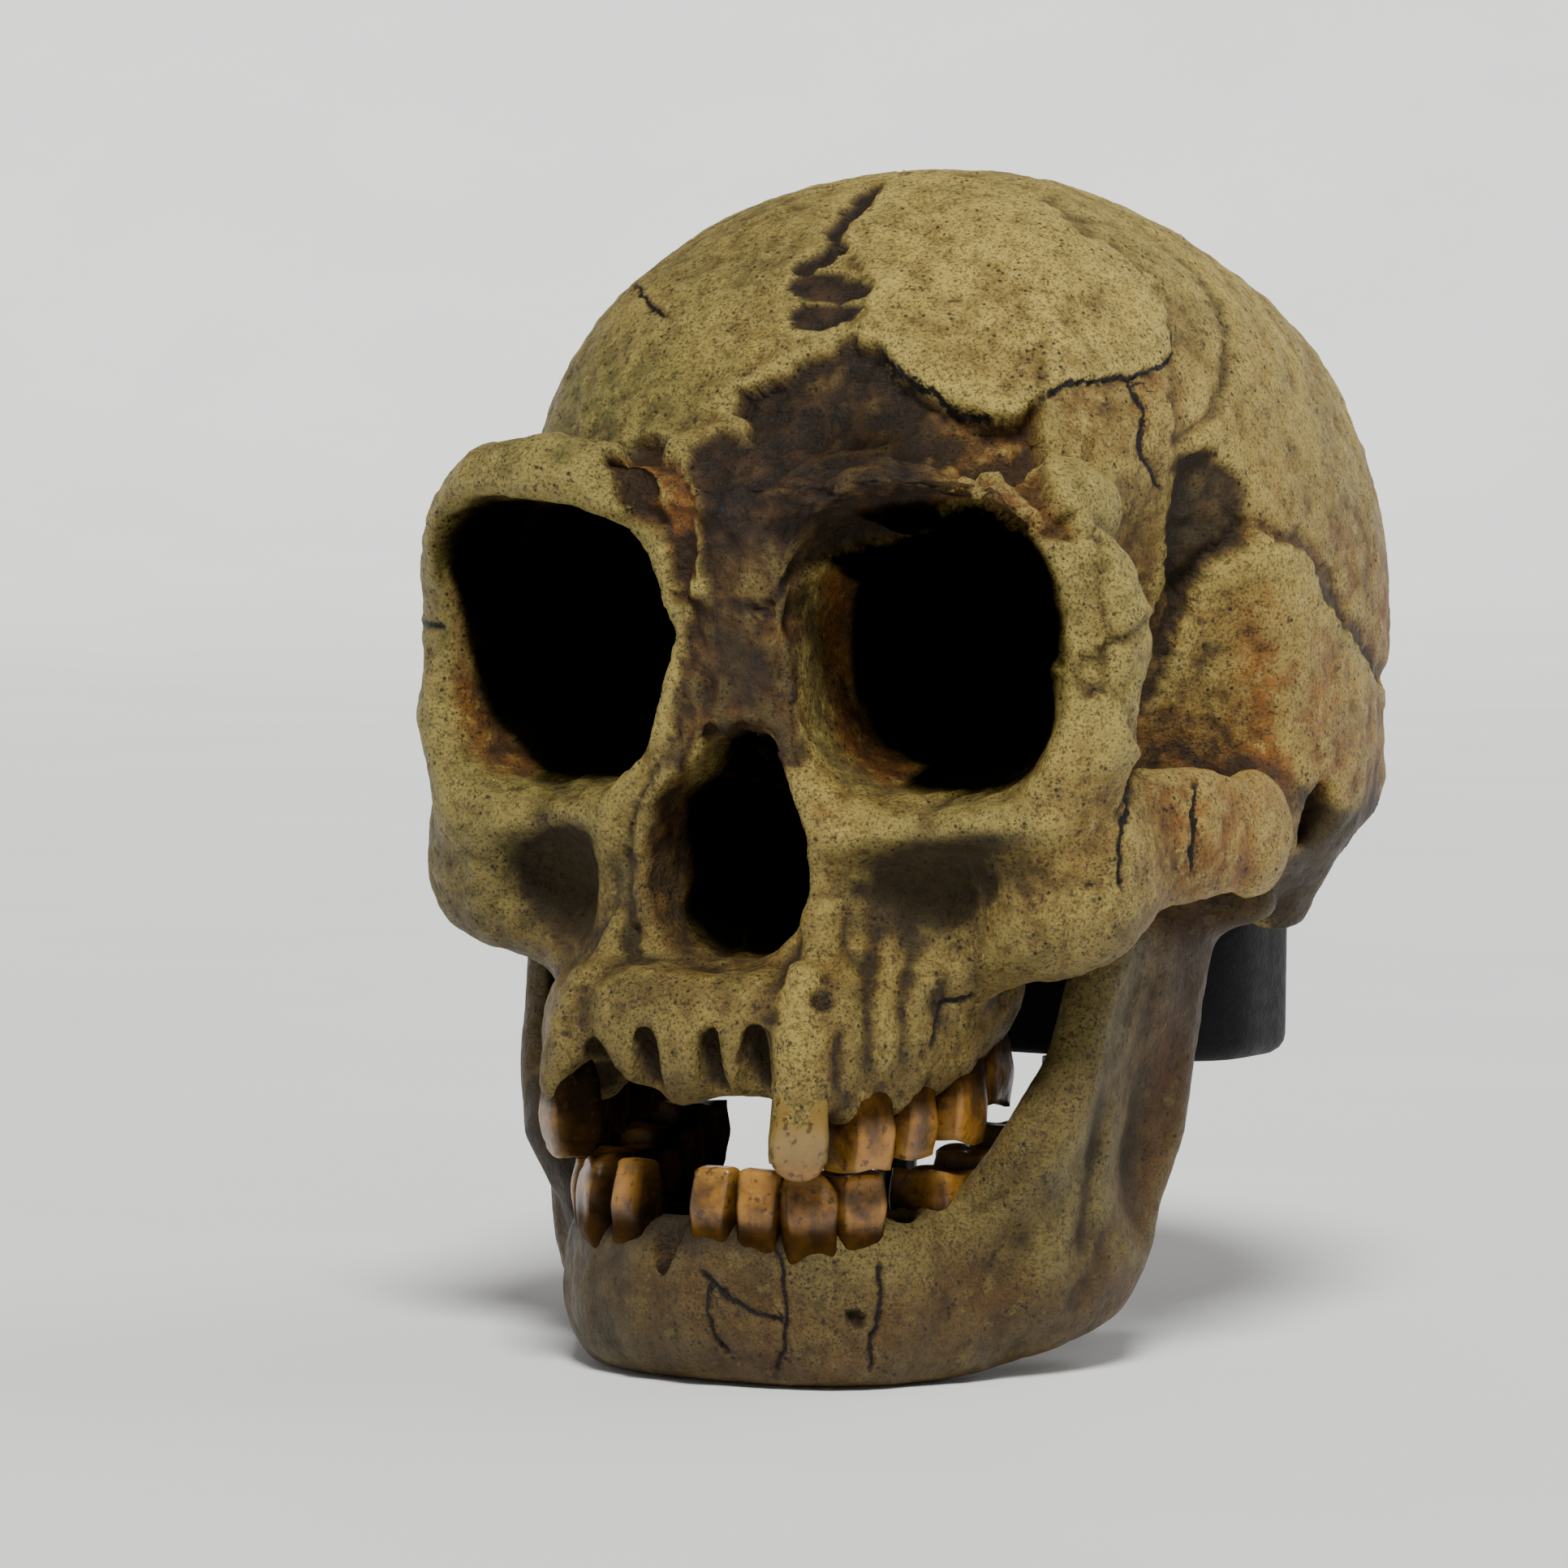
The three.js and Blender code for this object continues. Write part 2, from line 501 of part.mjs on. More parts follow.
// The stand: a dark padded block under the skull's base, on two rods and a small plate behind the jaw
const STAND = { block: [76.6, 31, 23.4], blockY: 87.5, blockTop: 6, round: 12, rod: 3, rodX: 13, rodY: 76 };
const PLATE = { wide: 36, deep: 14, thick: 3, round: 6.9, y: 73.5 };
function roundedSlab(wide, deep, thick, round, bevel) {
  const [w, d] = [wide / 2 - bevel, deep / 2 - bevel];
  const r = round - bevel;
  const outline = new THREE.Shape();
  outline.moveTo(w - r, -d);
  outline.absarc(w - r, -d + r, r, -Math.PI / 2, 0, false);
  outline.absarc(w - r, d - r, r, 0, Math.PI / 2, false);
  outline.absarc(-w + r, d - r, r, Math.PI / 2, Math.PI, false);
  outline.absarc(-w + r, -d + r, r, Math.PI, 1.5 * Math.PI, false);
  const options = { depth: thick - 2 * bevel, curveSegments: 3, bevelEnabled: bevel > 0 };
  Object.assign(options, { bevelThickness: bevel, bevelSize: bevel, bevelSegments: 1 });
  return new THREE.ExtrudeGeometry(outline, options).translate(0, 0, bevel);
}
const blockBottom = STAND.blockTop - STAND.block[2];
const padding = (grow) => {
  const [wide, deep, tall] = STAND.block.map((v) => v + 2 * grow);
  return roundedSlab(wide, deep, tall, STAND.round + grow, 3).translate(0, STAND.blockY, blockBottom - grow);
};
const plateTop = FLOOR_Z + PLATE.thick;
const rodLength = blockBottom - plateTop - 2 * GAP;

const wholeCranium = solid(skinOf(cranium, ...craniumGrid)).subtract(solid(padding(GAP)));
const bones = partCranium(largest(wholeCranium));
bones.maxilla = withTeeth(bones.maxilla, UPPER_TEETH, EMPTY_SOCKETS.upper, false);
bones.mandible = withTeeth(solid(skinOf(mandible, ...jawGrid)), LOWER_TEETH, EMPTY_SOCKETS.lower, true);

// The model, set down on its footprint
const COLOURS = {
  frontal: 0x9c9468, parietal_left: 0xb59c5f, parietal_right: 0xa39764, occipital: 0xb29a62,
  temporal_left: 0xb1894a, temporal_right: 0xa5854e, sphenoid: 0x8f7547, zygomatic_left: 0xa99763,
  zygomatic_right: 0x9b9062, maxilla: 0xa8905c, mandible: 0x9a7a48,
};
const model = new THREE.Group();
model.name = "skull";
const setDown = new THREE.Group();
model.add(setDown);
function place(name, geometry, color, roughness) {
  const mesh = new THREE.Mesh(geometry, new THREE.MeshStandardMaterial({ color, roughness, metalness: 0 }));
  mesh.name = name;
  setDown.add(mesh);
}
for (const [name, body] of Object.entries(bones)) place(name, geometryOf(body), COLOURS[name], 0.62);
place("stand_block", geometryOf(solid(padding(0))), 0x0b0b12, 0.55);
for (const [side, x] of [["left", STAND.rodX], ["right", -STAND.rodX]]) {
  const rod = new THREE.CylinderGeometry(STAND.rod, STAND.rod, rodLength, 12).rotateX(Math.PI / 2);
  rod.translate(x, STAND.rodY, plateTop + GAP + rodLength / 2);
  place(`stand_rod_${side}`, geometryOf(solid(rod)), 0x14141a, 0.4);
}
const plate = roundedSlab(PLATE.wide, PLATE.deep, PLATE.thick, PLATE.round, 0).translate(0, PLATE.y, FLOOR_Z);
place("stand_base", geometryOf(solid(plate)), 0x14141a, 0.4);

const extent = new THREE.Box3().setFromObject(setDown);
const middle = extent.getCenter(new THREE.Vector3());
setDown.position.set(-middle.x, -middle.y, -extent.min.z);

export default model;
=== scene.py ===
import json
import math

import bpy
import numpy as np
from bpy.props import FloatProperty, FloatVectorProperty, PointerProperty
from mathutils import Matrix, Vector

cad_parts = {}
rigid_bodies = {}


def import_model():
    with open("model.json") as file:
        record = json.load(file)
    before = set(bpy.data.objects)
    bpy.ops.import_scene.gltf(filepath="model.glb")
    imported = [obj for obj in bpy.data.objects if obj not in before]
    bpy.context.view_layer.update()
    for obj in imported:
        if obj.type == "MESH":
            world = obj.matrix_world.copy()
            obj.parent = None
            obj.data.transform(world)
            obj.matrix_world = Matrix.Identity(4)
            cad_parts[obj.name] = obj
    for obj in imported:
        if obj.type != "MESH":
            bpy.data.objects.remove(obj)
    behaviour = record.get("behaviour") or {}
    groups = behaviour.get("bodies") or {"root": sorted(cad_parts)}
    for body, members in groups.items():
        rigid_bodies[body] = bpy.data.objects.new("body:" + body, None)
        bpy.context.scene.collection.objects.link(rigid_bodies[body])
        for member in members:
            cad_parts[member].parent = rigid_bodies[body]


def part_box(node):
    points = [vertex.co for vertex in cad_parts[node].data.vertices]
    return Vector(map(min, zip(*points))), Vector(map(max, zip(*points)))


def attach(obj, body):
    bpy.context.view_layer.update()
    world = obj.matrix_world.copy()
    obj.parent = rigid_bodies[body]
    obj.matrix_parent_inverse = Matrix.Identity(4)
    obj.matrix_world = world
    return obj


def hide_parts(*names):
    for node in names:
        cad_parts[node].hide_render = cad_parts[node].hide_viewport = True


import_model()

bl_info = {
    "name": "Fossil Skull",
    "version": (1, 0, 0),
    "blender": (4, 5, 0),
    "location": "View3D > Sidebar > Skull",
    "description": "Builds a small fossil skull with its lower jaw on a plain display stand",
    "category": "Add Mesh",
}

# Lengths are in millimetres until a mesh is written, and are laid out from the lower edge of
# the nasal opening. The solids' box says how far that point is from the frame's origin.
MM = 0.001
PLATE_LOW, PLATE_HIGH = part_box("stand_base")
PLATE_MIDDLE_Y = 73.5
SHIFT = np.array([
    (PLATE_LOW[0] + PLATE_HIGH[0]) / 2 / MM,
    (PLATE_LOW[1] + PLATE_HIGH[1]) / 2 / MM - PLATE_MIDDLE_Y,
    54.5,
])
FLOOR_Z = -54.5


def clamp(t):
    return np.clip(t, 0.0, 1.0)


def smooth(low, high, t):
    t = clamp((t - low) / (high - low))
    return t * t * (3 - 2 * t)


def bell(t, width):
    return np.exp(-(t / width) ** 2)


# Forms: each is a function of x, y and z arrays that is about the distance to its surface,
# negative inside. join and carve round the seam over k millimetres.
def join(a, b, k):
    h = np.maximum(k - np.abs(a - b), 0) / k
    return np.minimum(a, b) - h * h * k / 4


def carve(a, b, k):
    return -join(-a, b, k)


def turning(turn):
    ax, ay, az = (math.radians(t) for t in turn)
    m = Matrix.Rotation(ax, 3, "X") @ Matrix.Rotation(ay, 3, "Y") @ Matrix.Rotation(az, 3, "Z")
    return np.array(m.transposed(), dtype=np.float32)


def lump(centre, radii, n=2.0, turn=(0, 0, 0)):
    m = turning(turn)
    least = min(radii)

    def field(x, y, z):
        dx, dy, dz = x - centre[0], y - centre[1], z - centre[2]
        s = [np.abs(m[i, 0] * dx + m[i, 1] * dy + m[i, 2] * dz) / radii[i] for i in range(3)]
        p = [v ** (n - 1) for v in s]
        total = p[0] * s[0] + p[1] * s[1] + p[2] * s[2] + 1e-9
        r = total ** (1 / n)
        slope = np.sqrt(sum((p[i] / radii[i]) ** 2 for i in range(3))) * r ** (1 - n) + 1e-6
        return np.maximum((r - 1) / slope, -least)

    return field


def bar(points, radii, squash=(1, 1, 1)):
    p = np.array(points, dtype=np.float32) * np.array(squash, dtype=np.float32)
    most = max(squash)

    def field(x, y, z):
        best = None
        for i in range(len(p) - 1):
            b = p[i + 1] - p[i]
            dx, dy, dz = x * squash[0] - p[i][0], y * squash[1] - p[i][1], z * squash[2] - p[i][2]
            t = clamp((dx * b[0] + dy * b[1] + dz * b[2]) / float(b @ b))
            far = np.sqrt((dx - t * b[0]) ** 2 + (dy - t * b[1]) ** 2 + (dz - t * b[2]) ** 2)
            far = far - (radii[i] + t * (radii[i + 1] - radii[i]))
            best = far if best is None else np.minimum(best, far)
        return best / most

    return field


def socket(mouth, end, across, up, n, tilt=0.0, narrow=0.75):
    axis = Vector(end) - Vector(mouth)
    deep = axis.length
    axis.normalize()
    side = -Vector((0, 0, 1)).cross(axis)
    side.normalize()
    side.rotate(Matrix.Rotation(math.radians(tilt), 3, axis))
    rise = axis.cross(side)
    least = min(across, up)

    def field(x, y, z):
        dx, dy, dz = x - mouth[0], y - mouth[1], z - mouth[2]
        w = dx * axis[0] + dy * axis[1] + dz * axis[2]
        s = 1 - narrow * clamp(w / deep) ** 1.6
        u = np.abs(dx * side[0] + dy * side[1] + dz * side[2]) / (across * s)
        v = np.abs(dx * rise[0] + dy * rise[1] + dz * rise[2]) / (up * s)
        wall = ((u ** n + v ** n) ** (1 / n) - 1) * least * s
        return -join(-wall, -(w - deep), 8.0)

    return field


def plane(point, normal):
    n = Vector(normal).normalized()
    d = n.dot(Vector(point))
    return lambda x, y, z: n[0] * x + n[1] * y + n[2] * z - d


# The braincase
EYE_Z = 39.5
REAR_VAULT = lump((0, 79, 42), (52.5, 58, 58), 2.15)
FRONT_VAULT = lump((0, 50, 45), (48, 46, 56), 2.4)
FOREHEAD = plane((0, 19, 85), (0, 0.66, -0.75))
NUCHAL = plane((0, 104, 6), (0, -0.42, 0.91))
BASE = plane((0, 60, 2), (0, 0, 1))
EAR_REGION = lump((43, 73, 21), (11.5, 24, 12), 2.2)
MASTOID = bar(((44, 76, 17), (43, 80, 5.5)), (7.6, 4.4))
MASTOID_NOTCH = bar(((36, 74, -3), (36, 92, 1)), (2.2, 1.6))
TEMPLE = lump((58, 36, 33), (22, 21, 38), 2.2, (0, 8, 0))
UNDER_TEMPLE = lump((38, 38, -4), (22, 18, 19), 2.2)
EAR_HOLE = bar(((60, 68, 17.5), (42, 69.5, 17.5)), (5.0, 3.0))
JAW_SOCKET = lump((44, 57, 5), (11, 7, 6), 2)
NECK_LINE = bar(((0, 131, 26), (20, 127, 26), (38, 112, 24), (46, 96, 20)), (3.4, 3, 2.6, 2))
NECK_KNOB = lump((12, 78, 1), (5.5, 9, 5), 2, (0, 0, 20))
SPINAL_HOLE = lump((0, 88, -1), (12, 14, 13), 2.2)

# The face
BROW = bar(
    ((0, 4, 59), (12, 2, 60), (24, 1, 61), (34, 3, 59.5), (41, 8.5, 55), (46, 13.5, 48), (47, 16, 41)),
    (5, 5.2, 5.8, 6, 6.2, 5.4, 4.8),
)
EYE_RIM = bar(
    ((47, 16, 41), (47, 14, 30), (41, 10.5, 18), (28, 7.5, 14.6), (16, 5.5, 17), (9.5, 6, 24), (7, 7, 38),
     (8, 5, 52)),
    (4.8, 5.4, 5.6, 4.4, 4, 3.4, 3.4, 4.2),
)
NOSE_BRIDGE = bar(((0, 7, 58), (0, 8.5, 42), (0, 9, 31)), (8, 7, 7), (0.8, 1.1, 1))
CHEEK = lump((40, 17, 12), (13, 9.5, 13), 2.4, (0, 0, 28))
CHEEK_FOOT = bar(((28, 15, 1), (38, 17, 5), (46, 24, 11)), (5.5, 5, 5.2))
UPPER_JAW = lump((0, 27, 10), (30, 25, 24), 2.8)
TOOTH_RIDGE = bar(
    ((0, -2.4, -10), (8, -1.8, -10), (17, 1.4, -10.5), (21.6, 8, -10), (24, 16, -8.5), (24.6, 26, -5)),
    (6.2, 6.4, 6.6, 6.6, 6.4, 6),
    (1, 1, 0.72),
)
CANINE_ROOT = bar(((18, -3.4, -14), (15.4, 2.6, 4)), (3.6, 1.4))
BARE_ROOT = bar(((15.4, -3.0, -1), (16.2, -5.2, -9), (16.4, -5.6, -18.5)), (1.6, 3.2, 3.5))
CHEEK_HOLLOW = lump((27, -1, 6), (11, 6.5, 8), 2.2, (0, 0, 18))
EYE_WALL = lump((37.5, 26, 36), (4.6, 15, 22), 2.6, (0, 0, 33))
EYE_SOCKET = socket((29, 0, EYE_Z), (12.5, 46, 37), 18.4, 19.2, 2.7, -5, 0.85)
NOSE_HOLE = socket((0.6, -6, 12), (0.6, 30, 12), 12.8, 13.4, 2.4, 0, 0.45)
NOSE_TOP = socket((1.8, -6, 19.6), (2, 27, 18.6), 7.8, 11, 2.6, 0, 0.45)
NOSE_WALL = lump((-0.6, 17, 1), (0.7, 6, 8), 2, (0, 3, -8))
EYE_ROOF = [lump((20, 10, 60.5), (13, 9, 6.4)), lump((40, 15, 58), (8, 9, 6.2))]
EYE_NOTCH = bar(((-12.4, 3, 50), (-9.2, 5, 41.6), (-11.4, 4, 35)), (2.4, 3.6, 2.2))
PALATE = lump((0, 19, -20), (16.4, 19, 12), 2.4)
BEHIND_PALATE = lump((0, 54, -19), (24, 22, 20), 2.4)
SKULL_CORE = lump((0, 46, 30), (27, 32, 26), 2.6)
WING = bar(((13, 37, 12), (14, 39, -4)), (4.5, 3), (1, 0.8, 1))
BROKEN_BROW = bar(((1, -3, 67), (12, -3.5, 71), (24, -2, 72), (34, 3, 67)), (4, 7.5, 7.5, 5))
BROW_TROUGH = bar(((-13, -4, 64), (-10, -3.5, 48)), (3, 2.4))
ARCH = bar(
    ((40, 19, 13), (47, 28, 15.5), (51.5, 38, 16), (53.3, 47, 15.5), (52.6, 51, 16), (48, 58.5, 18)),
    (7.6, 8, 7.2, 5.8, 5.8, 5),
    (2, 1, 0.86),
)
ARCH_ROOT = lump((51.4, 51.6, 15.6), (4.6, 6.6, 7.6), 2.2, (0, 0, -8))


# The lower jaw
JAW_BODY = bar(
    ((0, 1, -44), (8, 2, -44), (14.5, 5, -44), (19.5, 11, -43.5), (24, 20, -43), (29, 31, -40.5),
     (33, 40, -37)),
    (6.4, 6.4, 6.6, 7, 7, 7.2, 7),
    (1, 1, 0.66),
)
JAW_SILL = bar(
    ((0, 7, -48.5), (9, 8, -49), (16, 12, -49), (22, 19, -48), (29, 31, -44.5), (34.5, 42, -38.5)),
    (6, 6, 6, 5.4, 5.2, 5),
)
BRANCH = bar(((35, 35, -33), (39, 38, -18), (40.5, 39, -2), (41, 38.5, 7)), (13, 12.5, 9.5, 4), (2.7, 1, 1))
BRANCH_BACK = bar(
    ((35.5, 45, -34), (39.5, 48, -21), (41.5, 51, -8), (43, 55, 4)), (8.6, 8, 6.4, 4.4), (2.4, 1, 1)
)
CONDYLE = lump((44, 56.5, 6.5), (9, 4.2, 4), 2.2, (0, 0, 12))
OBLIQUE_LINE = bar(((41.5, 31, 3), (39.5, 27, -14), (35, 22, -25), (28, 20, -34)), (3, 3.8, 4.4, 4))
BRANCH_HOLLOW = lump((47, 41, -21), (6, 8, 16), 2.2, (0, 14, 0))


# Teeth: width along the row and depth across it
TOOTH = {
    "incisor": (6.0, 5.6),
    "canine": (7.8, 7.6),
    "premolar": (7.5, 9.2),
    "molar": (10.4, 10.6),
}
# Each tooth: kind, x and y of its middle, z of its neck and of its tip, turn of its row in degrees
UPPER_TEETH = [
    ("canine", 16.4, -5.2, -17.6, -26.7, 30), ("canine", -18.8, -2.6, -16.4, -26.4, -34),
    ("premolar", 20.4, 2.8, -17.6, -26.5, 66), ("premolar", -21.8, 3.8, -17.2, -25.6, -68),
    ("premolar", 22.9, 9.6, -16.4, -25.0, 78), ("premolar", -23.2, 10.4, -16.6, -24.6, -80),
    ("molar", 24.2, 18.4, -13.2, -23.8, 88), ("molar", -24.2, 18.4, -14.4, -23.2, -88),
    ("molar", 23.6, 27.0, -11.4, -19.8, 94), ("molar", -24.2, 27.8, -12, -19.6, -94),
]
LOWER_TEETH = [
    ("incisor", 2.7, -2.4, -35.2, -26.2, 4), ("incisor", 8.8, -1.6, -35.2, -26.2, 14),
    ("incisor", -9.4, -1.4, -35.2, -26.0, -16),
    ("canine", 14.4, 1.0, -35.4, -26.2, 38), ("canine", -16, 1.8, -35.2, -26.2, -42),
    ("premolar", 17.7, 6.0, -35.4, -26.4, 60), ("premolar", -19, 7.0, -35.2, -26.4, -64),
    ("premolar", -21.2, 13.2, -35, -26.8, -76),
    ("molar", 22.4, 20.6, -34.8, -27.0, 80), ("molar", -22.6, 21, -34.8, -27.0, -80),
    ("molar", 23.8, 30.0, -33.0, -25.0, 82), ("molar", -24, 30.0, -33.0, -25.0, -82),
    ("molar", 24.8, 38.4, -31.0, -22.6, 84), ("molar", -25, 38.4, -31.0, -22.6, -84),
]
# A ridge over each upper root, and the sockets and broken edges of the teeth that are missing
ROOT_RIDGES = [
    bar(((x * 1.02, y - 2.0, z - 0.5), (x * 0.94, y + 0.8, z + 13)), (2.6, 1.2))
    for _, x, y, z, _, _ in UPPER_TEETH[1:8]
]
UPPER_SOCKETS = [
    bar(((x, y, -22), (x, y + 1.4, top)), (r, r * 0.7), (1, 0.72, 1))
    for x, y, top, r in (
        (10.5, -7.2, -9.0, 2.7), (4.6, -8.0, -9.4, 2.6), (-4.6, -8.2, -10.2, 2.8), (-12.6, -5.6, -12.4, 3.6)
    )
]
UPPER_BREAKS = [
    lump((6.8, -6, -21.6), (8.2, 9, 5.0), 2.6), lump((-13.0, -5, -20.4), (5.2, 9, 7.0), 2.4),
    lump((-7.0, -6, -21.6), (4.2, 9, 5.4), 2.4),
]
LOWER_SOCKETS = [
    bar(((x, y, -31), (x, y + 1, low)), (r, r * 0.35))
    for x, y, low, r in ((-3.4, -4.4, -39.6, 3.6), (-3.4, -8.0, -37.8, 3.2), (20.6, 12.4, -40, 3.4))
]
ALVEOLAR = bar(
    ((0, -1.0, -38), (8, 0, -38), (14, 3.2, -38), (18.6, 9, -38), (22.4, 20, -37.6), (24.6, 30, -36),
     (26, 38, -34)),
    (4.0, 4.0, 4.4, 4.8, 5.2, 5.2, 5),
)
BLOCK_SEAT = lump((0, 87.5, -5.7), (38.7, 15.9, 12.1), 8)


def under_floor(x, y, z):
    return z - FLOOR_Z


# What is joined or carved, in this order: whether it is the same on both sides, and rows of the step,
# the radius of its seam and its forms
CRANIUM_PARTS = (
    (True, (
        (join, 16, FRONT_VAULT), (carve, 14, FOREHEAD, NUCHAL), (carve, 8, BASE), (join, 8, EAR_REGION),
        (join, 9, NECK_LINE), (carve, 7, TEMPLE), (join, 8, SKULL_CORE), (carve, 8, UNDER_TEMPLE),
        (join, 5, MASTOID), (carve, 3, MASTOID_NOTCH), (join, 4, NECK_KNOB), (join, 8, UPPER_JAW),
        (join, 6, TOOTH_RIDGE), (join, 7, CHEEK), (join, 5, CHEEK_FOOT), (join, 7, BROW),
        (join, 4, EYE_RIM, EYE_WALL), (join, 5, NOSE_BRIDGE), (join, 3, CANINE_ROOT),
        (carve, 5, CHEEK_HOLLOW), (carve, 4, PALATE), (carve, 5, BEHIND_PALATE), (join, 3, WING),
    )),
    (False, ((carve, 4, BROKEN_BROW), (carve, 2, BROW_TROUGH))),
    (True, ((carve, 2, EYE_SOCKET),)),
    (False, (
        (carve, 1.2, EYE_NOTCH), (join, 1.5, *EYE_ROOF), (carve, 1.5, NOSE_HOLE), (carve, 2, NOSE_TOP),
        (join, 1, NOSE_WALL),
    )),
    (True, (
        (join, 3, ARCH, ARCH_ROOT), (carve, 3, JAW_SOCKET), (carve, 2, EAR_HOLE), (carve, 4, SPINAL_HOLE),
    )),
    (False, (
        (join, 2, *ROOT_RIDGES), (carve, 1.5, *UPPER_BREAKS), (join, 2, BARE_ROOT),
        (carve, 0.8, *UPPER_SOCKETS, BLOCK_SEAT),
    )),
)
JAW_PARTS = (
    (True, (
        (join, 6, JAW_SILL), (join, 5, BRANCH, BRANCH_BACK), (join, 3.5, CONDYLE), (join, 4, OBLIQUE_LINE),
        (join, 3, ALVEOLAR), (carve, 4, BRANCH_HOLLOW),
    )),
    (False, ((carve, 1, *LOWER_SOCKETS), (carve, 1.5, under_floor))),
)


def assemble(first, parts, x, y, z):
    side = np.abs(x)
    d = first(side, y, z)
    for both_sides, rows in parts:
        for step, seam, *forms in rows:
            for form in forms:
                d = step(d, form(side if both_sides else x, y, z), seam)
    return d


def cranium_field(x, y, z):
    return assemble(REAR_VAULT, CRANIUM_PARTS, x, y, z)


def mandible_field(x, y, z):
    return assemble(JAW_BODY, JAW_PARTS, x, y, z)


# Rounds of close_pinches, and how many planes of the grid are measured at a time
PINCH_ROUNDS = 4
SLAB = 12


# Fills the grid's corners where two parts of the solid would meet along one edge only
def close_pinches(value):
    just_inside = -0.01
    for _ in range(PINCH_ROUNDS):
        for first, second in ((0, 1), (0, 2), (1, 2)):
            solid = {}
            cuts = {}
            for a, b in ((0, 0), (0, 1), (1, 0), (1, 1)):
                cut = [slice(None)] * 3
                cut[first] = slice(a, value.shape[first] - 1 + a)
                cut[second] = slice(b, value.shape[second] - 1 + b)
                cuts[a, b] = tuple(cut)
                solid[a, b] = value[cuts[a, b]] < 0
            crossed = (solid[0, 0] == solid[1, 1]) & (solid[0, 1] == solid[1, 0])
            crossed &= solid[0, 0] != solid[0, 1]
            for key, cut in cuts.items():
                part = value[cut]
                part[crossed & ~solid[key]] = just_inside


# A skin of four-sided faces round a field, one point in each cell that the surface crosses
def skin_of(field, xs, ys, zs):
    shape = (len(xs), len(ys), len(zs))
    value = np.empty(shape, dtype=np.float32)
    yy, zz = np.meshgrid(ys, zs, indexing="ij")
    for start in range(0, shape[0], SLAB):
        x = xs[start:start + SLAB]
        block = [np.broadcast_to(a, (len(x),) + yy.shape) for a in (x[:, None, None], yy[None], zz[None])]
        value[start:start + SLAB] = field(*[np.ascontiguousarray(b, dtype=np.float32) for b in block])
    close_pinches(value)
    inside = value < 0
    corner = [(a, b, c) for a in (0, 1) for b in (0, 1) for c in (0, 1)]
    view = [inside[a:shape[0] - 1 + a, b:shape[1] - 1 + b, c:shape[2] - 1 + c] for a, b, c in corner]
    count = sum(v.astype(np.int8) for v in view)
    cells = np.argwhere((count > 0) & (count < 8))
    ids = np.full((shape[0] - 1, shape[1] - 1, shape[2] - 1), -1, dtype=np.int32)
    ids[tuple(cells.T)] = np.arange(len(cells))
    total = np.zeros((len(cells), 3))
    hits = np.zeros(len(cells))
    grid = (xs, ys, zs)
    for low in corner:
        for axis in range(3):
            if low[axis]:
                continue
            high = list(low)
            high[axis] = 1
            a = cells + np.array(low)
            b = cells + np.array(high)
            va, vb = value[tuple(a.T)], value[tuple(b.T)]
            cross = (va < 0) != (vb < 0)
            t = np.where(cross, va / np.where(cross, va - vb, 1), 0)
            place = [grid[i][a[:, i]] + t * (grid[i][b[:, i]] - grid[i][a[:, i]]) for i in range(3)]
            total += np.stack(place, 1) * cross[:, None]
            hits += cross
    points = total / hits[:, None]
    quads = []
    for axis in range(3):
        low = [slice(1, -1)] * 3
        high = list(low)
        low[axis] = slice(0, -1)
        high[axis] = slice(1, None)
        a, b = inside[tuple(low)], inside[tuple(high)]
        at = np.argwhere(a != b)
        flip = ~a[tuple(at.T)]
        for i in range(3):
            if i != axis:
                at[:, i] += 1
        u, v = [i for i in range(3) if i != axis]
        if axis == 1:
            u, v = v, u
        ring = []
        for du, dv in ((-1, -1), (0, -1), (0, 0), (-1, 0)):
            cell = at.copy()
            cell[:, u] += du
            cell[:, v] += dv
            ring.append(ids[tuple(cell.T)])
        ring = np.stack(ring, 1)
        ring[flip] = ring[flip][:, ::-1]
        quads.append(ring)
    return settle(field, points), np.concatenate(quads)


# Moves points onto the surface along the field's slope
def settle(field, points):
    p = points.astype(np.float32)
    probe = 0.15
    most = 0.5
    for _ in range(2):
        d = field(*p.T)
        slope = np.stack([
            (field(*(p + probe * np.eye(3, dtype=np.float32)[i]).T) - d) / probe for i in range(3)
        ], 1)
        size = np.maximum((slope ** 2).sum(1), 0.3)
        p = p - slope * np.clip(d / size, -most, most)[:, None]
    return p


# Grid lines from low to high, with a step that depends on the place
def lines(low, high, step):
    at = [low]
    while at[-1] < high:
        at.append(at[-1] + step(at[-1]))
    return np.array(at, dtype=np.float32)


def corner_normals(points, quads):
    across = np.cross(points[quads[:, 2]] - points[quads[:, 0]], points[quads[:, 3]] - points[quads[:, 1]])
    normal = np.zeros_like(points)
    for i in range(4):
        np.add.at(normal, quads[:, i], across)
    return normal / (np.linalg.norm(normal, axis=1, keepdims=True) + 1e-9)


# Seeded lattice noise, and the same summed over finer and finer scales
def noise(p, size, seed):
    table = np.random.RandomState(seed).rand(32, 32, 32).astype(np.float32) * 2 - 1
    q = p / size + 100.0
    low = np.floor(q).astype(int)
    f = q - low
    f = f * f * (3 - 2 * f)
    total = 0
    for a in (0, 1):
        for b in (0, 1):
            for c in (0, 1):
                w = (f[:, 0] if a else 1 - f[:, 0]) * (f[:, 1] if b else 1 - f[:, 1])
                w = w * (f[:, 2] if c else 1 - f[:, 2])
                total = total + w * table[(low[:, 0] + a) % 32, (low[:, 1] + b) % 32, (low[:, 2] + c) % 32]
    return total


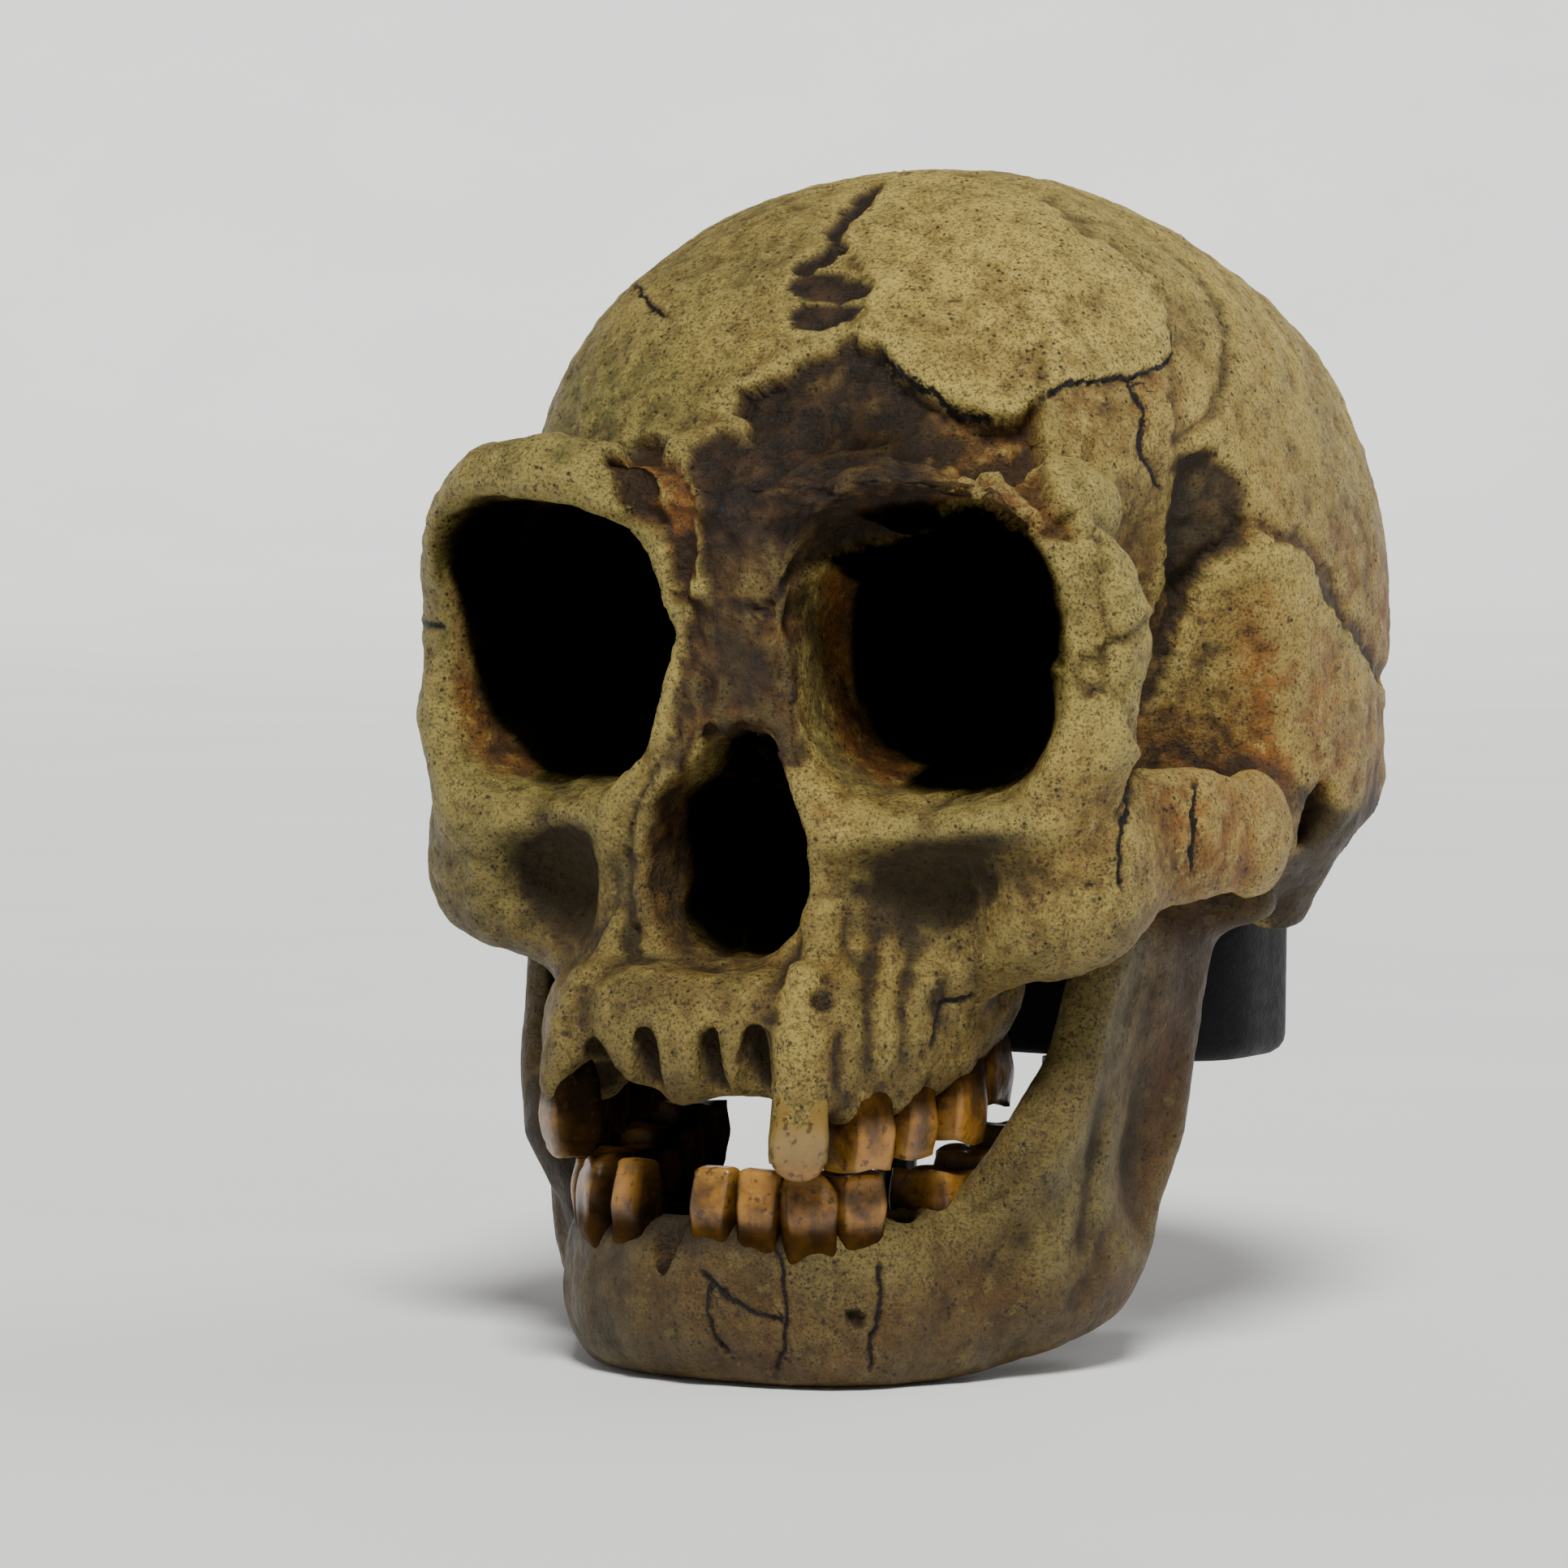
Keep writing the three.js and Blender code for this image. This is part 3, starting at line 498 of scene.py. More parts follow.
def rough(p, size, seed, octaves=3):
    return sum(noise(p, size / 2 ** i, seed + i) / 2 ** i for i in range(octaves))


# The photograph's camera, in the layout's own millimetres
VIEW = {"azimuth": 29.0, "elevation": 3.0, "roll": 0.6, "distance": 800.0, "focal": 7720.0,
        "across": 9.6, "up": 22.4, "centre": 966.0}


def view_axes():
    a, e, r = (math.radians(VIEW[k]) for k in ("azimuth", "elevation", "roll"))
    back = Vector((math.sin(a) * math.cos(e), -math.cos(a) * math.cos(e), math.sin(e)))
    right = Vector((math.cos(a), math.sin(a), 0))
    up = back.cross(right)
    return right * math.cos(r) + up * math.sin(r), up * math.cos(r) - right * math.sin(r), back


VIEW_RIGHT, VIEW_UP, VIEW_BACK = view_axes()


# Where points of the layout stand in the 1932-pixel photograph
def pixel(p):
    across, up, back = (p @ np.array(v) for v in (VIEW_RIGHT, VIEW_UP, VIEW_BACK))
    scale = VIEW["focal"] / (VIEW["distance"] - back)
    return np.stack([
        VIEW["centre"] + scale * (across - VIEW["across"]),
        VIEW["centre"] - scale * (up - VIEW["up"]),
    ], 1)


PIXELS_PER_MM = 9.66
FAR_AWAY = 99.0
NO_CRACK = 9.0


# Merges lines into one signed distance and a mask that ends each line at its ends
class Lines:
    def __init__(self, count):
        self.signed = np.full(count, NO_CRACK)
        self.mask = np.zeros(count)
        self.best = np.full(count, FAR_AWAY)

    def add(self, signed, mask):
        worth = np.abs(signed) + 6 * (1 - mask)
        near = worth < self.best
        self.best = np.where(near, worth, self.best)
        self.signed = np.where(near, signed, self.signed)
        self.mask = np.where(near, mask, self.mask)

    def add_pixels(self, at, line, where):
        far, side, _ = line_distance(at, line)
        p = np.array(line, dtype=np.float64)
        past = np.maximum(-(at - p[0]) @ (p[1] - p[0]) / np.linalg.norm(p[1] - p[0]),
                          (at - p[-1]) @ (p[-1] - p[-2]) / np.linalg.norm(p[-1] - p[-2])) / PIXELS_PER_MM
        self.add(far * side, where * smooth(3.0, 2.0, far) * smooth(0.5, -0.6, past))


# Distance in millimetres from points to a line of pixels, and the side: above 0 on its right
def line_distance(at, line):
    p = np.array(line, dtype=np.float64)
    best = np.full(len(at), 1e9)
    side = np.ones(len(at))
    along = np.zeros(len(at))
    for i in range(len(p) - 1):
        b = p[i + 1] - p[i]
        d = at - p[i]
        t = clamp(d @ b / (b @ b))
        far = np.linalg.norm(d - t[:, None] * b, axis=1)
        near = far < best
        best = np.where(near, far, best)
        side = np.where(near, np.sign(b[0] * d[:, 1] - b[1] * d[:, 0]), side)
        along = np.where(near, (i + t) / (len(p) - 1), along)
    return best / PIXELS_PER_MM, side, along


# How deep points lie inside a closed line of pixels, in millimetres, negative outside
def inside_depth(at, ring):
    far, _, _ = line_distance(at, list(ring) + [ring[0]])
    x, y = at[:, 0], at[:, 1]
    odd = np.zeros(len(at), dtype=bool)
    for (x0, y0), (x1, y1) in zip(ring, list(ring[1:]) + [ring[0]]):
        if y0 == y1:
            continue
        odd ^= ((y0 > y) != (y1 > y)) & (x < (x1 - x0) * (y - y0) / (y1 - y0) + x0)
    return np.where(odd, far, -far)


# What the photograph shows, as lines of its pixels
PLATE_EDGE = [(1051, 415), (1080, 429), (1105, 457), (1149, 484), (1180, 506), (1225, 515), (1261, 513)]
RECESS = [
    *PLATE_EDGE, (1279, 501),
    (1281, 533), (1288, 582), (1301, 613), (1328, 644), (1330, 668), (1290, 672), (1240, 650), (1200, 622),
    (1170, 640), (1138, 662), (1096, 668), (1040, 682), (1004, 700), (975, 730), (930, 760), (870, 740),
    (856, 690), (853, 629), (843, 572), (847, 539), (888, 527), (917, 531), (921, 519), (904, 502),
    (909, 484), (962, 462), (1011, 433),
]
TROUGH = [
    (741, 560), (762, 604), (772, 649), (807, 660), (821, 690), (830, 745), (842, 751), (856, 690),
    (853, 629), (843, 572), (819, 539), (790, 533),
]
GAP_LINE = [(1078, 232), (1050, 262), (1026, 284), (1034, 300), (1014, 320), (986, 331)]
DARK_OVALS = [
    [(968, 352), (985, 338), (1015, 336), (1050, 341), (1078, 354), (1058, 368), (1020, 371), (985, 368)],
    [(972, 384), (990, 375), (1030, 373), (1066, 376), (1046, 395), (1010, 405), (978, 403)],
]
LEFT_PLATE = [
    *PLATE_EDGE, (1281, 492),
    (1310, 479), (1350, 472), (1390, 466), (1426, 455), (1442, 439), (1439, 412), (1426, 376), (1417, 354),
    (1390, 323), (1368, 309), (1328, 287), (1305, 262), (1250, 232), (1110, 214), (1085, 238), (1060, 268),
    (1040, 288), (1044, 310), (1080, 352), (1062, 390),
]
TEMPLE_EDGE = [
    (1283, 498), (1281, 533), (1288, 551), (1288, 582), (1301, 613), (1328, 644), (1350, 667), (1357, 700),
    (1360, 780),
]
TEMPLE_REAR_EDGE = [
    (1439, 533), (1439, 564), (1431, 600), (1431, 716), (1413, 756), (1381, 778),
]
SQUAMA_EDGE = [
    (1440, 800), (1457, 760), (1480, 698), (1520, 684), (1551, 658), (1573, 671), (1600, 676), (1618, 707),
    (1631, 742), (1658, 783), (1694, 836),
]
VAULT_GROOVE = [
    (1337, 265), (1408, 278), (1430, 296), (1462, 318), (1489, 345), (1506, 381), (1511, 412), (1511, 466),
    (1497, 510), (1450, 545),
]
CHEEK_EDGE = [
    (1300, 809), (1320, 826), (1336, 858), (1365, 854), (1373, 867), (1393, 916), (1389, 936),
]
BRIDGE = [
    (842, 735), (870, 735), (930, 745), (1000, 690), (992, 760), (984, 850), (1000, 935), (970, 950),
    (929, 940), (892, 912), (864, 912), (835, 950), (815, 935), (826, 880), (838, 830),
]
ROOT_LINES = [
    ([(1056, 1110), (1044, 1230), (1052, 1350)], 17, 0.55),
    ([(1100, 1150), (1088, 1240), (1096, 1335)], 15, 0.6),
    ([(1146, 1165), (1132, 1240), (1142, 1295)], 14, 0.4),
    ([(1184, 1180), (1176, 1230), (1186, 1280)], 12, 0.4),
    ([(1018, 1020), (1024, 1100), (1012, 1190)], 18, 0.6), ([(700, 1210), (690, 1270), (688, 1330)], 14, 0.6),
    ([(752, 1205), (742, 1240), (738, 1290)], 12, 0.4), ([(868, 1215), (866, 1250), (868, 1280)], 12, 0.35),
]
ROOT_GROOVES = [
    ([(1082, 1130), (1070, 1230), (1074, 1345)], 10, 0.4),
    ([(1122, 1170), (1111, 1240), (1117, 1325)], 10, 0.35),
    ([(1166, 1185), (1155, 1240), (1163, 1290)], 10, 0.3),
    ([(1036, 1262), (1032, 1300), (1036, 1362)], 7, 0.8),
    ([(944, 1258), (942, 1300), (944, 1340)], 6, 0.7), ([(998, 1224), (1012, 1236), (1026, 1230)], 9, 1.3),
]
BRANCH_LINES = [
    ([(1400, 1180), (1352, 1400), (1330, 1600)], 12, 0.9),
    ([(1432, 1160), (1404, 1340), (1384, 1470)], 12, 0.6),
    ([(1300, 1390), (1231, 1472), (1190, 1500)], 12, 0.6),
    ([(1372, 1500), (1340, 1580), (1316, 1626)], 10, 0.6),
]
NOSE_EDGE = [(812, 940), (788, 985), (776, 1040), (774, 1100), (786, 1152)]
UNDER_EAR = [
    (1576, 935), (1600, 950), (1640, 968), (1665, 985), (1700, 900), (1720, 1000), (1650, 1200), (1540, 1200),
    (1550, 1090), (1586, 1040),
]
DARK_PATCH = [
    (1450, 560), (1490, 550), (1530, 590), (1540, 640), (1525, 672), (1480, 690), (1455, 740), (1435, 740),
    (1432, 680), (1440, 610),
]
CRANIUM_CRACKS = [
    [(782, 350), (795, 365), (800, 376), (823, 388)],
    [(510, 770), (545, 773)],
    [(1283, 495), (1310, 479), (1350, 472), (1390, 466), (1426, 455), (1442, 439), (1438, 400)],
    [(1393, 932), (1389, 969), (1381, 1038), (1385, 1099)],
    [(1471, 964), (1474, 1020), (1470, 1079)],
    PLATE_EDGE[1:6],
    [(1385, 466), (1402, 505), (1398, 560), (1420, 600)],
    [(1200, 1225), (1165, 1235), (1150, 1290)],
]
MANDIBLE_CRACKS = [
    [(863, 1567), (889, 1584), (898, 1601), (932, 1619), (967, 1632)],
    [(878, 1580), (872, 1619), (880, 1649), (898, 1669)],
    [(960, 1536), (965, 1580), (969, 1619), (965, 1666), (958, 1697)],
    [(1084, 1558), (1086, 1601), (1075, 1653), (1073, 1688)],
]


# Rounds of smoothing that tell pits, and those that tell broad hollows
FINE_ROUNDS = 6
WIDE_ROUNDS = 60


# The surface that is dressed: its points, normals, attributes and what the photograph sees of it
class Surface:
    def __init__(self, points, quads):
        self.points = points.astype(np.float64)
        self.quads = quads
        self.fields = {}
        self.refresh()

    def refresh(self):
        self.normals = corner_normals(self.points, self.quads)
        self.at = pixel(self.points)
        self.facing = self.normals @ np.array(VIEW_BACK)

    def push(self, amount):
        self.points += self.normals * np.asarray(amount)[:, None]

    def blur(self, values, rounds):
        edges = np.concatenate([self.quads[:, [i, (i + 1) % 4]] for i in range(4)])
        count = np.bincount(edges.ravel(), minlength=len(self.points))
        for _ in range(rounds):
            total = np.bincount(edges[:, 0], values[edges[:, 1]], len(self.points))
            total += np.bincount(edges[:, 1], values[edges[:, 0]], len(self.points))
            values = total / np.maximum(count, 1)
        return values

    # Concave places give values above 0, ridges below
    def hollow(self, rounds):
        smooth_points = np.stack([self.blur(self.points[:, i], rounds) for i in range(3)], 1)
        return ((smooth_points - self.points) * self.normals).sum(1)


# Soft ridges along lines of pixels, each with its half width in pixels and its height in millimetres
def stripes(at, rows):
    total = np.zeros(len(at))
    for line, half, high in rows:
        far, _, along = line_distance(at, line)
        ends = smooth(0, 0.3, along + 0.04) * smooth(1, 0.75, along - 0.04)
        total = np.maximum(total, high * ends * bell(far * PIXELS_PER_MM, half))
    return total


# 0 at an oval's middle and 1 on its line, with heights of its own above and below the middle
def oval(u, v, middle, wide, above, below):
    return np.hypot((u - middle[0]) / wide, (v - middle[1]) / np.where(v < middle[1], above, below))


# The signed distance to a broken edge, and its step: full at the edge, gone after reach millimetres
def broken_edge(at, line, side, reach):
    far, turn, _ = line_distance(at, line)
    signed = far * turn * side
    return signed, smooth(-0.3, 0.4, signed) * bell(far, reach)


def dress_cranium(s):
    x, y, z = s.points.T
    p = s.points
    front = smooth(-0.2, -0.02, s.facing)
    outer = front * (y < 60)
    ragged = s.at + np.stack([rough(p, 2.2, 11), rough(p, 2.2, 21)], 1) * 5
    brow_area = outer * (z > 44)
    recess = inside_depth(ragged, RECESS)
    bottom_fade = 1 - 0.5 * smooth(640, 740, s.at[:, 1])
    recess_mask = smooth(-0.25, 0.45, recess) * bottom_fade * brow_area
    trough_mask = smooth(-0.2, 0.6, inside_depth(ragged, TROUGH)) * brow_area
    plate = inside_depth(ragged, LEFT_PLATE)
    plate_mask = smooth(-0.2, 0.4, plate) * outer * (z > 60)
    gap, _, _ = line_distance(ragged, GAP_LINE)
    gap_mask = (1 - smooth(0.75, 1.15, gap)) * outer * (z > 70)
    ovals = np.max([inside_depth(s.at, ring) for ring in DARK_OVALS], axis=0)
    oval_mask = smooth(-0.15, 0.25, ovals) * outer * (z > 60)
    side_area = front * (x > 20) * (z > 20)
    _, temple_step = broken_edge(ragged, TEMPLE_EDGE, -1, 9)
    temple_lift = temple_step * side_area * (y < 52)
    _, rear_step = broken_edge(ragged, TEMPLE_REAR_EDGE, 1, 8)
    rear_lift = rear_step * side_area
    squama_signed, squama_step = broken_edge(ragged, SQUAMA_EDGE, 1, 9)
    squama_lift = squama_step * side_area
    squama_groove = bell(squama_signed + 1.2, 1.1) * side_area
    _, cheek_step = broken_edge(ragged, CHEEK_EDGE, 1, 7)
    cheek_lift = cheek_step * front * (x > 30) * (y < 40) * (z < 45)
    groove, _, _ = line_distance(ragged, VAULT_GROOVE)
    groove_mask = bell(groove, 0.8) * front * (x > 15) * (z > 50)
    patch_mask = smooth(-0.4, 0.8, inside_depth(ragged, DARK_PATCH)) * side_area
    squama_lift = squama_lift * smooth(1716, 1660, s.at[:, 0])
    # Painted shadow under the ear and behind the cheekbone's arch
    under_ear_shadow = smooth(0.5, 2.6, inside_depth(ragged, UNDER_EAR)) * front * (y > 54)
    wander = s.at + np.stack([rough(p, 2.4, 5), rough(p, 2.4, 6)], 1) * 4
    cracks = Lines(len(p))
    for line in CRANIUM_CRACKS:
        cracks.add_pixels(wander, line, front * (z > -25))
    add_seams(cracks, p, front)

    coarse = rough(p, 4.0, 31)
    fine = rough(p, 1.6, 41)
    bridge = smooth(-0.4, 0.8, inside_depth(ragged, BRIDGE)) * front * (y < 26)
    fibres = rough(p * np.array([1, 1, 0.45]), 2.2, 51)
    u, v = s.at.T
    # Painted shadow in the cheeks under the eye sockets, darkest under the top edge; hollow_shape carves the
    # hollows themselves
    wu, wv = u + 9 * rough(p, 7.0, 161), v + 9 * rough(p, 7.0, 171)
    left_cheek_shadow = smooth(1.25, 0.3, oval(wu, wv, (1180, 1048), 132, 26, 96))
    left_cheek_shadow = left_cheek_shadow * (1 - 0.65 * smooth(1052, 1100, wv + 0.2 * (wu - 1180)))
    left_shape = smooth(1.3, 0.0, oval(u, v, (1190, 1078), 150, 58, 100))
    right_cheek = smooth(1.25, 0.2, oval(wu, wv, (678, 1062), 78, 62, 100))
    right_cheek = right_cheek * smooth(737, 712, wu) * (0.45 + 0.55 * smooth(610, 680, wu))
    cheek_shadow = clamp(left_cheek_shadow + right_cheek) * front * (z < 24) * (y < 30)
    hollow_shape = clamp(left_shape + right_cheek) * front * (z < 24) * (y < 30)
    nose_edge, nose_side, _ = line_distance(ragged, NOSE_EDGE)
    nose_groove = bell(nose_edge, 0.6) * front * (y < 16)
    roots = stripes(s.at, ROOT_LINES) - stripes(s.at, ROOT_GROOVES)
    roots = roots * front * (y < 40) * (z < 8)
    # The nasal opening's lit wall, painted warm: painted light
    nose_wall = smooth(-0.3, 0.6, inside_depth(ragged, LIT_WALLS[2])) * front * smooth(1, 4, y) * (z < 32)
    bare_root = smooth(0.9, 0.1, BARE_ROOT(*p.T.astype(np.float32))) * (z < 0)
    lift = recess_mask * (-2.3 + 0.6 * coarse + 0.45 * fine)
    lift += trough_mask * (-2.6 + 0.4 * coarse)
    lift += 0.8 * plate_mask * bell(plate, 7)
    lift += -1.3 * gap_mask - 0.7 * oval_mask
    lift += 0.9 * temple_lift + 0.9 * rear_lift + 1.2 * squama_lift - 0.9 * squama_groove
    lift += 1.2 * cheek_lift - 0.7 * groove_mask - patch_mask * (0.8 - 0.7 * coarse)
    lift += -0.5 * smooth(0.55, 0.1, np.abs(cracks.signed)) * cracks.mask
    lift += bridge * (1.2 * fibres - 0.5) - 3.0 * hollow_shape - 0.8 * nose_groove
    lift += -0.45 * nose_side * bell(nose_edge - 1.5, 1.2) * front * (y < 16)
    lift += roots
    lift += 0.24 * rough(p, 2.2, 61) + 0.35 * noise(p, 13.0, 71) + 0.2 * side_tone(p) * rough(p, 5.0, 181)
    s.push(lift)
    s.refresh()

    hollow = s.hollow(FINE_ROUNDS)
    wide = s.hollow(WIDE_ROUNDS)
    # dark is painted shade inside the eye sockets and the nasal opening; lit is painted light on their lit
    # walls
    dark, lit = opening_shade_and_light(p, s.at)
    black_patch = bell(u - 1060, 64) * bell(v - 530, 38) * recess_mask * (0.9 + 0.6 * coarse)
    # Painted shade: the lower front darker and browner, as light falls from above
    low = smooth(30, -20, z) * smooth(60, 20, y)
    # Painted shade: the right side darker and more olive
    right = smooth(8, -36, x) * smooth(70, 10, y)
    beyond = smooth(1120, 1190, u)
    s.fields = {
        "crack": cracks.signed,
        "crack_mask": cracks.mask,
        "recess": clamp(recess_mask * (1 - 0.75 * beyond - 0.2 * coarse) + gap_mask + oval_mask
                        + patch_mask * 0.85 + 0.7 * bridge * (0.8 + 0.9 * fibres)),
        # warm: also painted light on the lit walls of the openings
        "warm": clamp(trough_mask + 0.8 * recess_mask + 0.8 * bridge + side_tone(p) + lit + 0.3 * low
                      + 0.8 * nose_wall),
        "cream": clamp(plate_mask * (0.75 + 0.4 * bell(plate, 2) + 0.5 * noise(p, 7.0, 131))
                       + 0.4 * squama_lift + 0.9 * bare_root + 0.7 * clamp(roots) + pale_tone(p)),
        "olive": clamp(0.2 + 0.7 * right + 0.4 * rough(p, 12.0, 101)),
        # grime_and_shade: grime in pits, grooves and brown patches, and painted shade in broad hollows, the
        # cheeks, under the ear, towards the bottom and on the right side
        "grime_and_shade": clamp(clamp(hollow / 0.3) * 0.7 + clamp(wide / 2.2) * 0.75 + 0.4 * bridge + 0.75 * cheek_shadow
                      + 0.5 * nose_groove + 0.4 * low + 0.2 * right + 0.25 * clamp(rough(p, 6.0, 141))
                      + 1.15 * under_ear_shadow + 0.45 * nose_wall - 0.5 * recess_mask * beyond
                      + 0.45 * clamp(-roots)
                      + 0.5 * plate_mask * clamp(noise(p, 9.0, 151)) * smooth(1300, 1150, u)),
        "wear": clamp(-hollow / 0.22) * (1 - 0.6 * low),
        # dark: painted shade inside the openings, and the black patch in the broken brow
        "dark": clamp(dark + 0.35 * black_patch),
    }


def dress_mandible(s):
    p = s.points
    x, y, z = p.T
    front = smooth(-0.05, 0.1, s.facing)
    wander = s.at + np.stack([rough(p, 2.4, 5), rough(p, 2.4, 6)], 1) * 4
    cracks = Lines(len(p))
    for line in MANDIBLE_CRACKS:
        cracks.add_pixels(wander, line, front * (y < 25))
    lift = -0.5 * smooth(0.55, 0.1, np.abs(cracks.signed)) * cracks.mask
    side = np.abs(x)
    u, v = s.at.T
    branch = smooth(27, 36, y) * (side > 30)
    ridges = np.sin(y * 0.62 - z * 0.12 + noise(p, 12.0, 15) * 1.6)
    grooves = stripes(s.at, BRANCH_LINES) * front * (x > 20)
    lift += 0.25 * branch * ridges * smooth(-48, -30, z) * smooth(4, -8, z) - grooves
    body = smooth(0, 6, -30 - z) * (1 - branch)
    lift += body * 0.4 * rough(p * np.array([1, 1, 0.4]), 5.0, 25)
    for along, high in ((843, 52), (870, 52), (928, 50), (985, 46), (1045, 46), (770, 50), (718, 46)):
        bulge = bell(u - along, 22) * smooth(1515 + high, 1515, v) * smooth(1495, 1515, v)
        lift += 0.45 * bulge * front * (y < 16)
    hole, _, _ = line_distance(s.at, [(1053, 1622), (1059, 1627)])
    hole_mask = smooth(1.1, 0.6, hole) * front * (y < 20)
    lift += -1.2 * hole_mask
    lift += 0.12 * rough(p, 2.4, 35) + 0.3 * noise(p, 11.0, 45)
    lift *= smooth(FLOOR_Z + 0.2, FLOOR_Z + 2.5, z)
    s.push(lift)
    s.points[:, 2] = np.maximum(s.points[:, 2], FLOOR_Z)
    s.refresh()
    hollow = s.hollow(FINE_ROUNDS)
    wide = s.hollow(WIDE_ROUNDS)
    s.fields = {
        "crack": cracks.signed,
        "crack_mask": cracks.mask,
        "recess": 0.9 * hole_mask,
        "warm": clamp(0.4 + 0.4 * noise(p, 12.0, 55) + 0.55 * branch),
        "cream": clamp(0.45 * noise(p, 8.0, 65) - 0.1
                       + 0.75 * smooth(-45, -38, z) * smooth(8, 18, x) * smooth(48, 30, y)),
        # olive: greener on the right half as painted shade, more olive low down, and random olive patches
        "olive": clamp(0.4 * smooth(8, -20, x) + 0.5 * noise(p, 10.0, 75) + 0.3 * smooth(-40, -52, z)),
        # grime_and_shade: grime in pits and grooves, and painted shade in broad hollows, on the right half
        # and at the rear edge of the branch
        "grime_and_shade": clamp(clamp(hollow / 0.3) * 0.7 + clamp(wide / 2.4) * 0.6 + 0.35 * clamp(rough(p, 7.0, 85))
                      + 0.4 * grooves + 0.2 * smooth(12, -20, x)
                      + 0.8 * smooth(-38.5, -34.5, z) * smooth(1020, 960, u) * (y < 20)
                      + 0.45 * smooth(1425, 1462, u) * smooth(-30, -16, z) * (x > 30)),
        "wear": clamp(-hollow / 0.22) * 0.7,
        # dark: painted shade on the inner side of the jaw's right half
        "dark": 0.9 * smooth(-2, -12, x) * smooth(0.0, 0.5, s.normals[:, 0]) * smooth(-1, 6, y),
    }


def mirrored(line):
    return [(-x, y, z) for x, y, z in line]


# The seams between the bones of the vault, which wander as real ones do
FRONT_SEAM = [(0, 50, 104), (14, 47, 102), (28, 42, 92), (38, 38, 74), (41, 36, 58)]
REAR_SEAM = [(0, 132, 68), (12, 130, 62), (22, 126, 54), (36, 114, 40), (46, 100, 26)]
SEAMS = [
    FRONT_SEAM,
    mirrored(FRONT_SEAM),
    [(0, 50, 104), (1, 66, 104), (0, 84, 103), (-1, 108, 94), (1, 122, 82), (0, 132, 68)],
    REAR_SEAM,
    mirrored(REAR_SEAM),
    [(-46, 100, 26), (-51, 90, 40), (-52, 76, 49), (-50, 62, 50), (-45, 50, 44), (-40, 42, 34)],
]


def add_seams(cracks, p, front):
    wander = np.stack([rough(p, 3.4, seed, 4) for seed in (91, 92, 93)], 1) * 1.7
    q = p + wander
    shown = 1 - front * smooth(0, 8, p[:, 0]) * smooth(110, 90, p[:, 1])
    for line in SEAMS:
        a = np.array(line, dtype=np.float64)
        best = np.full(len(p), FAR_AWAY)
        signed = np.zeros(len(p))
        past = np.full(len(p), FAR_AWAY)
        for i in range(len(a) - 1):
            b = a[i + 1] - a[i]
            long = np.linalg.norm(b)
            b /= long
            out = (a[i] + a[i + 1]) / 2 - np.array([0, 76, 42])
            across = np.cross(b, out)
            across /= np.linalg.norm(across)
            d = q - a[i]
            t = d @ b
            over = np.maximum(-t, t - long)
            off = d @ across
            high = np.abs(d @ np.cross(across, b))
            worth = np.abs(off) + 3 * np.maximum(over, 0) + (high > 16) * 40
            near = worth < best
            best = np.where(near, worth, best)
            signed = np.where(near, off, signed)
            past = np.where(near, over, past)
        cracks.add(signed, shown * smooth(4.0, 2.5, best) * smooth(0.8, -0.2, past) * 0.75)


# Tones over the whole skull, by place
def side_tone(p):
    x, y, z = p.T
    low = 0.3 + 0.7 * smooth(62, 34, z)
    return clamp(smooth(24, 44, np.abs(x)) * smooth(12, 36, y) * low * (0.95 + 0.4 * noise(p, 10.0, 111)))


def pale_tone(p):
    y, z = p[:, 1], p[:, 2]
    vault = 0.55 * smooth(40, 70, z) * smooth(30, 60, y)
    return clamp(0.3 * smooth(60, 84, z) + vault + 0.5 * noise(p, 9.0, 121) - 0.1)


# Walls inside the openings that the light still reaches in the photograph
LIT_WALLS = [
    [(546, 690), (566, 735), (585, 820), (604, 880), (640, 915), (668, 950), (640, 972), (585, 955),
     (552, 900), (540, 800)],
    [(990, 679), (1030, 700), (1056, 720), (1048, 785), (1054, 850), (1088, 915), (1137, 945), (1091, 985),
     (1050, 980), (1004, 890), (986, 785)],
    [(780, 950), (850, 925), (845, 1000), (853, 1080), (840, 1120), (858, 1166), (850, 1185), (800, 1170),
     (780, 1110)],
]


# Painted shade inside the eye sockets and the nasal opening, from 0 to 1, and painted light on their lit
# walls
def opening_shade_and_light(p, at):
    x, y, z = p.T.astype(np.float32)
    side = np.abs(x)
    lit = np.max([smooth(-0.5, 0.9, inside_depth(at, ring)) for ring in LIT_WALLS], axis=0)
    early = 0.16 * (side - 26) + 0.4 * np.maximum(z - 40, 0) + 5 * smooth(47, 52, z) * (x > 0)
    eye = np.minimum(EYE_SOCKET(side, y, z), EYE_NOTCH(x, y, z) + 0.6)
    eye = smooth(1.6, 0.2, eye) * smooth(8.5, 15, y + early)
    nose = np.minimum(NOSE_HOLE(x, y, z), NOSE_TOP(x, y, z))
    nose = smooth(1.6, 0.2, nose) * smooth(5, 12, y)
    deep = smooth(19, 36, y)
    opening = clamp(eye + nose)
    return opening * np.maximum(1 - lit, deep), opening * lit * (1 - deep)


# Materials
def tint(red, green, blue):
    def channel(v):
        v /= 255
        return v / 12.92 if v <= 0.04045 else ((v + 0.055) / 1.055) ** 2.4
    return (channel(red), channel(green), channel(blue), 1.0)


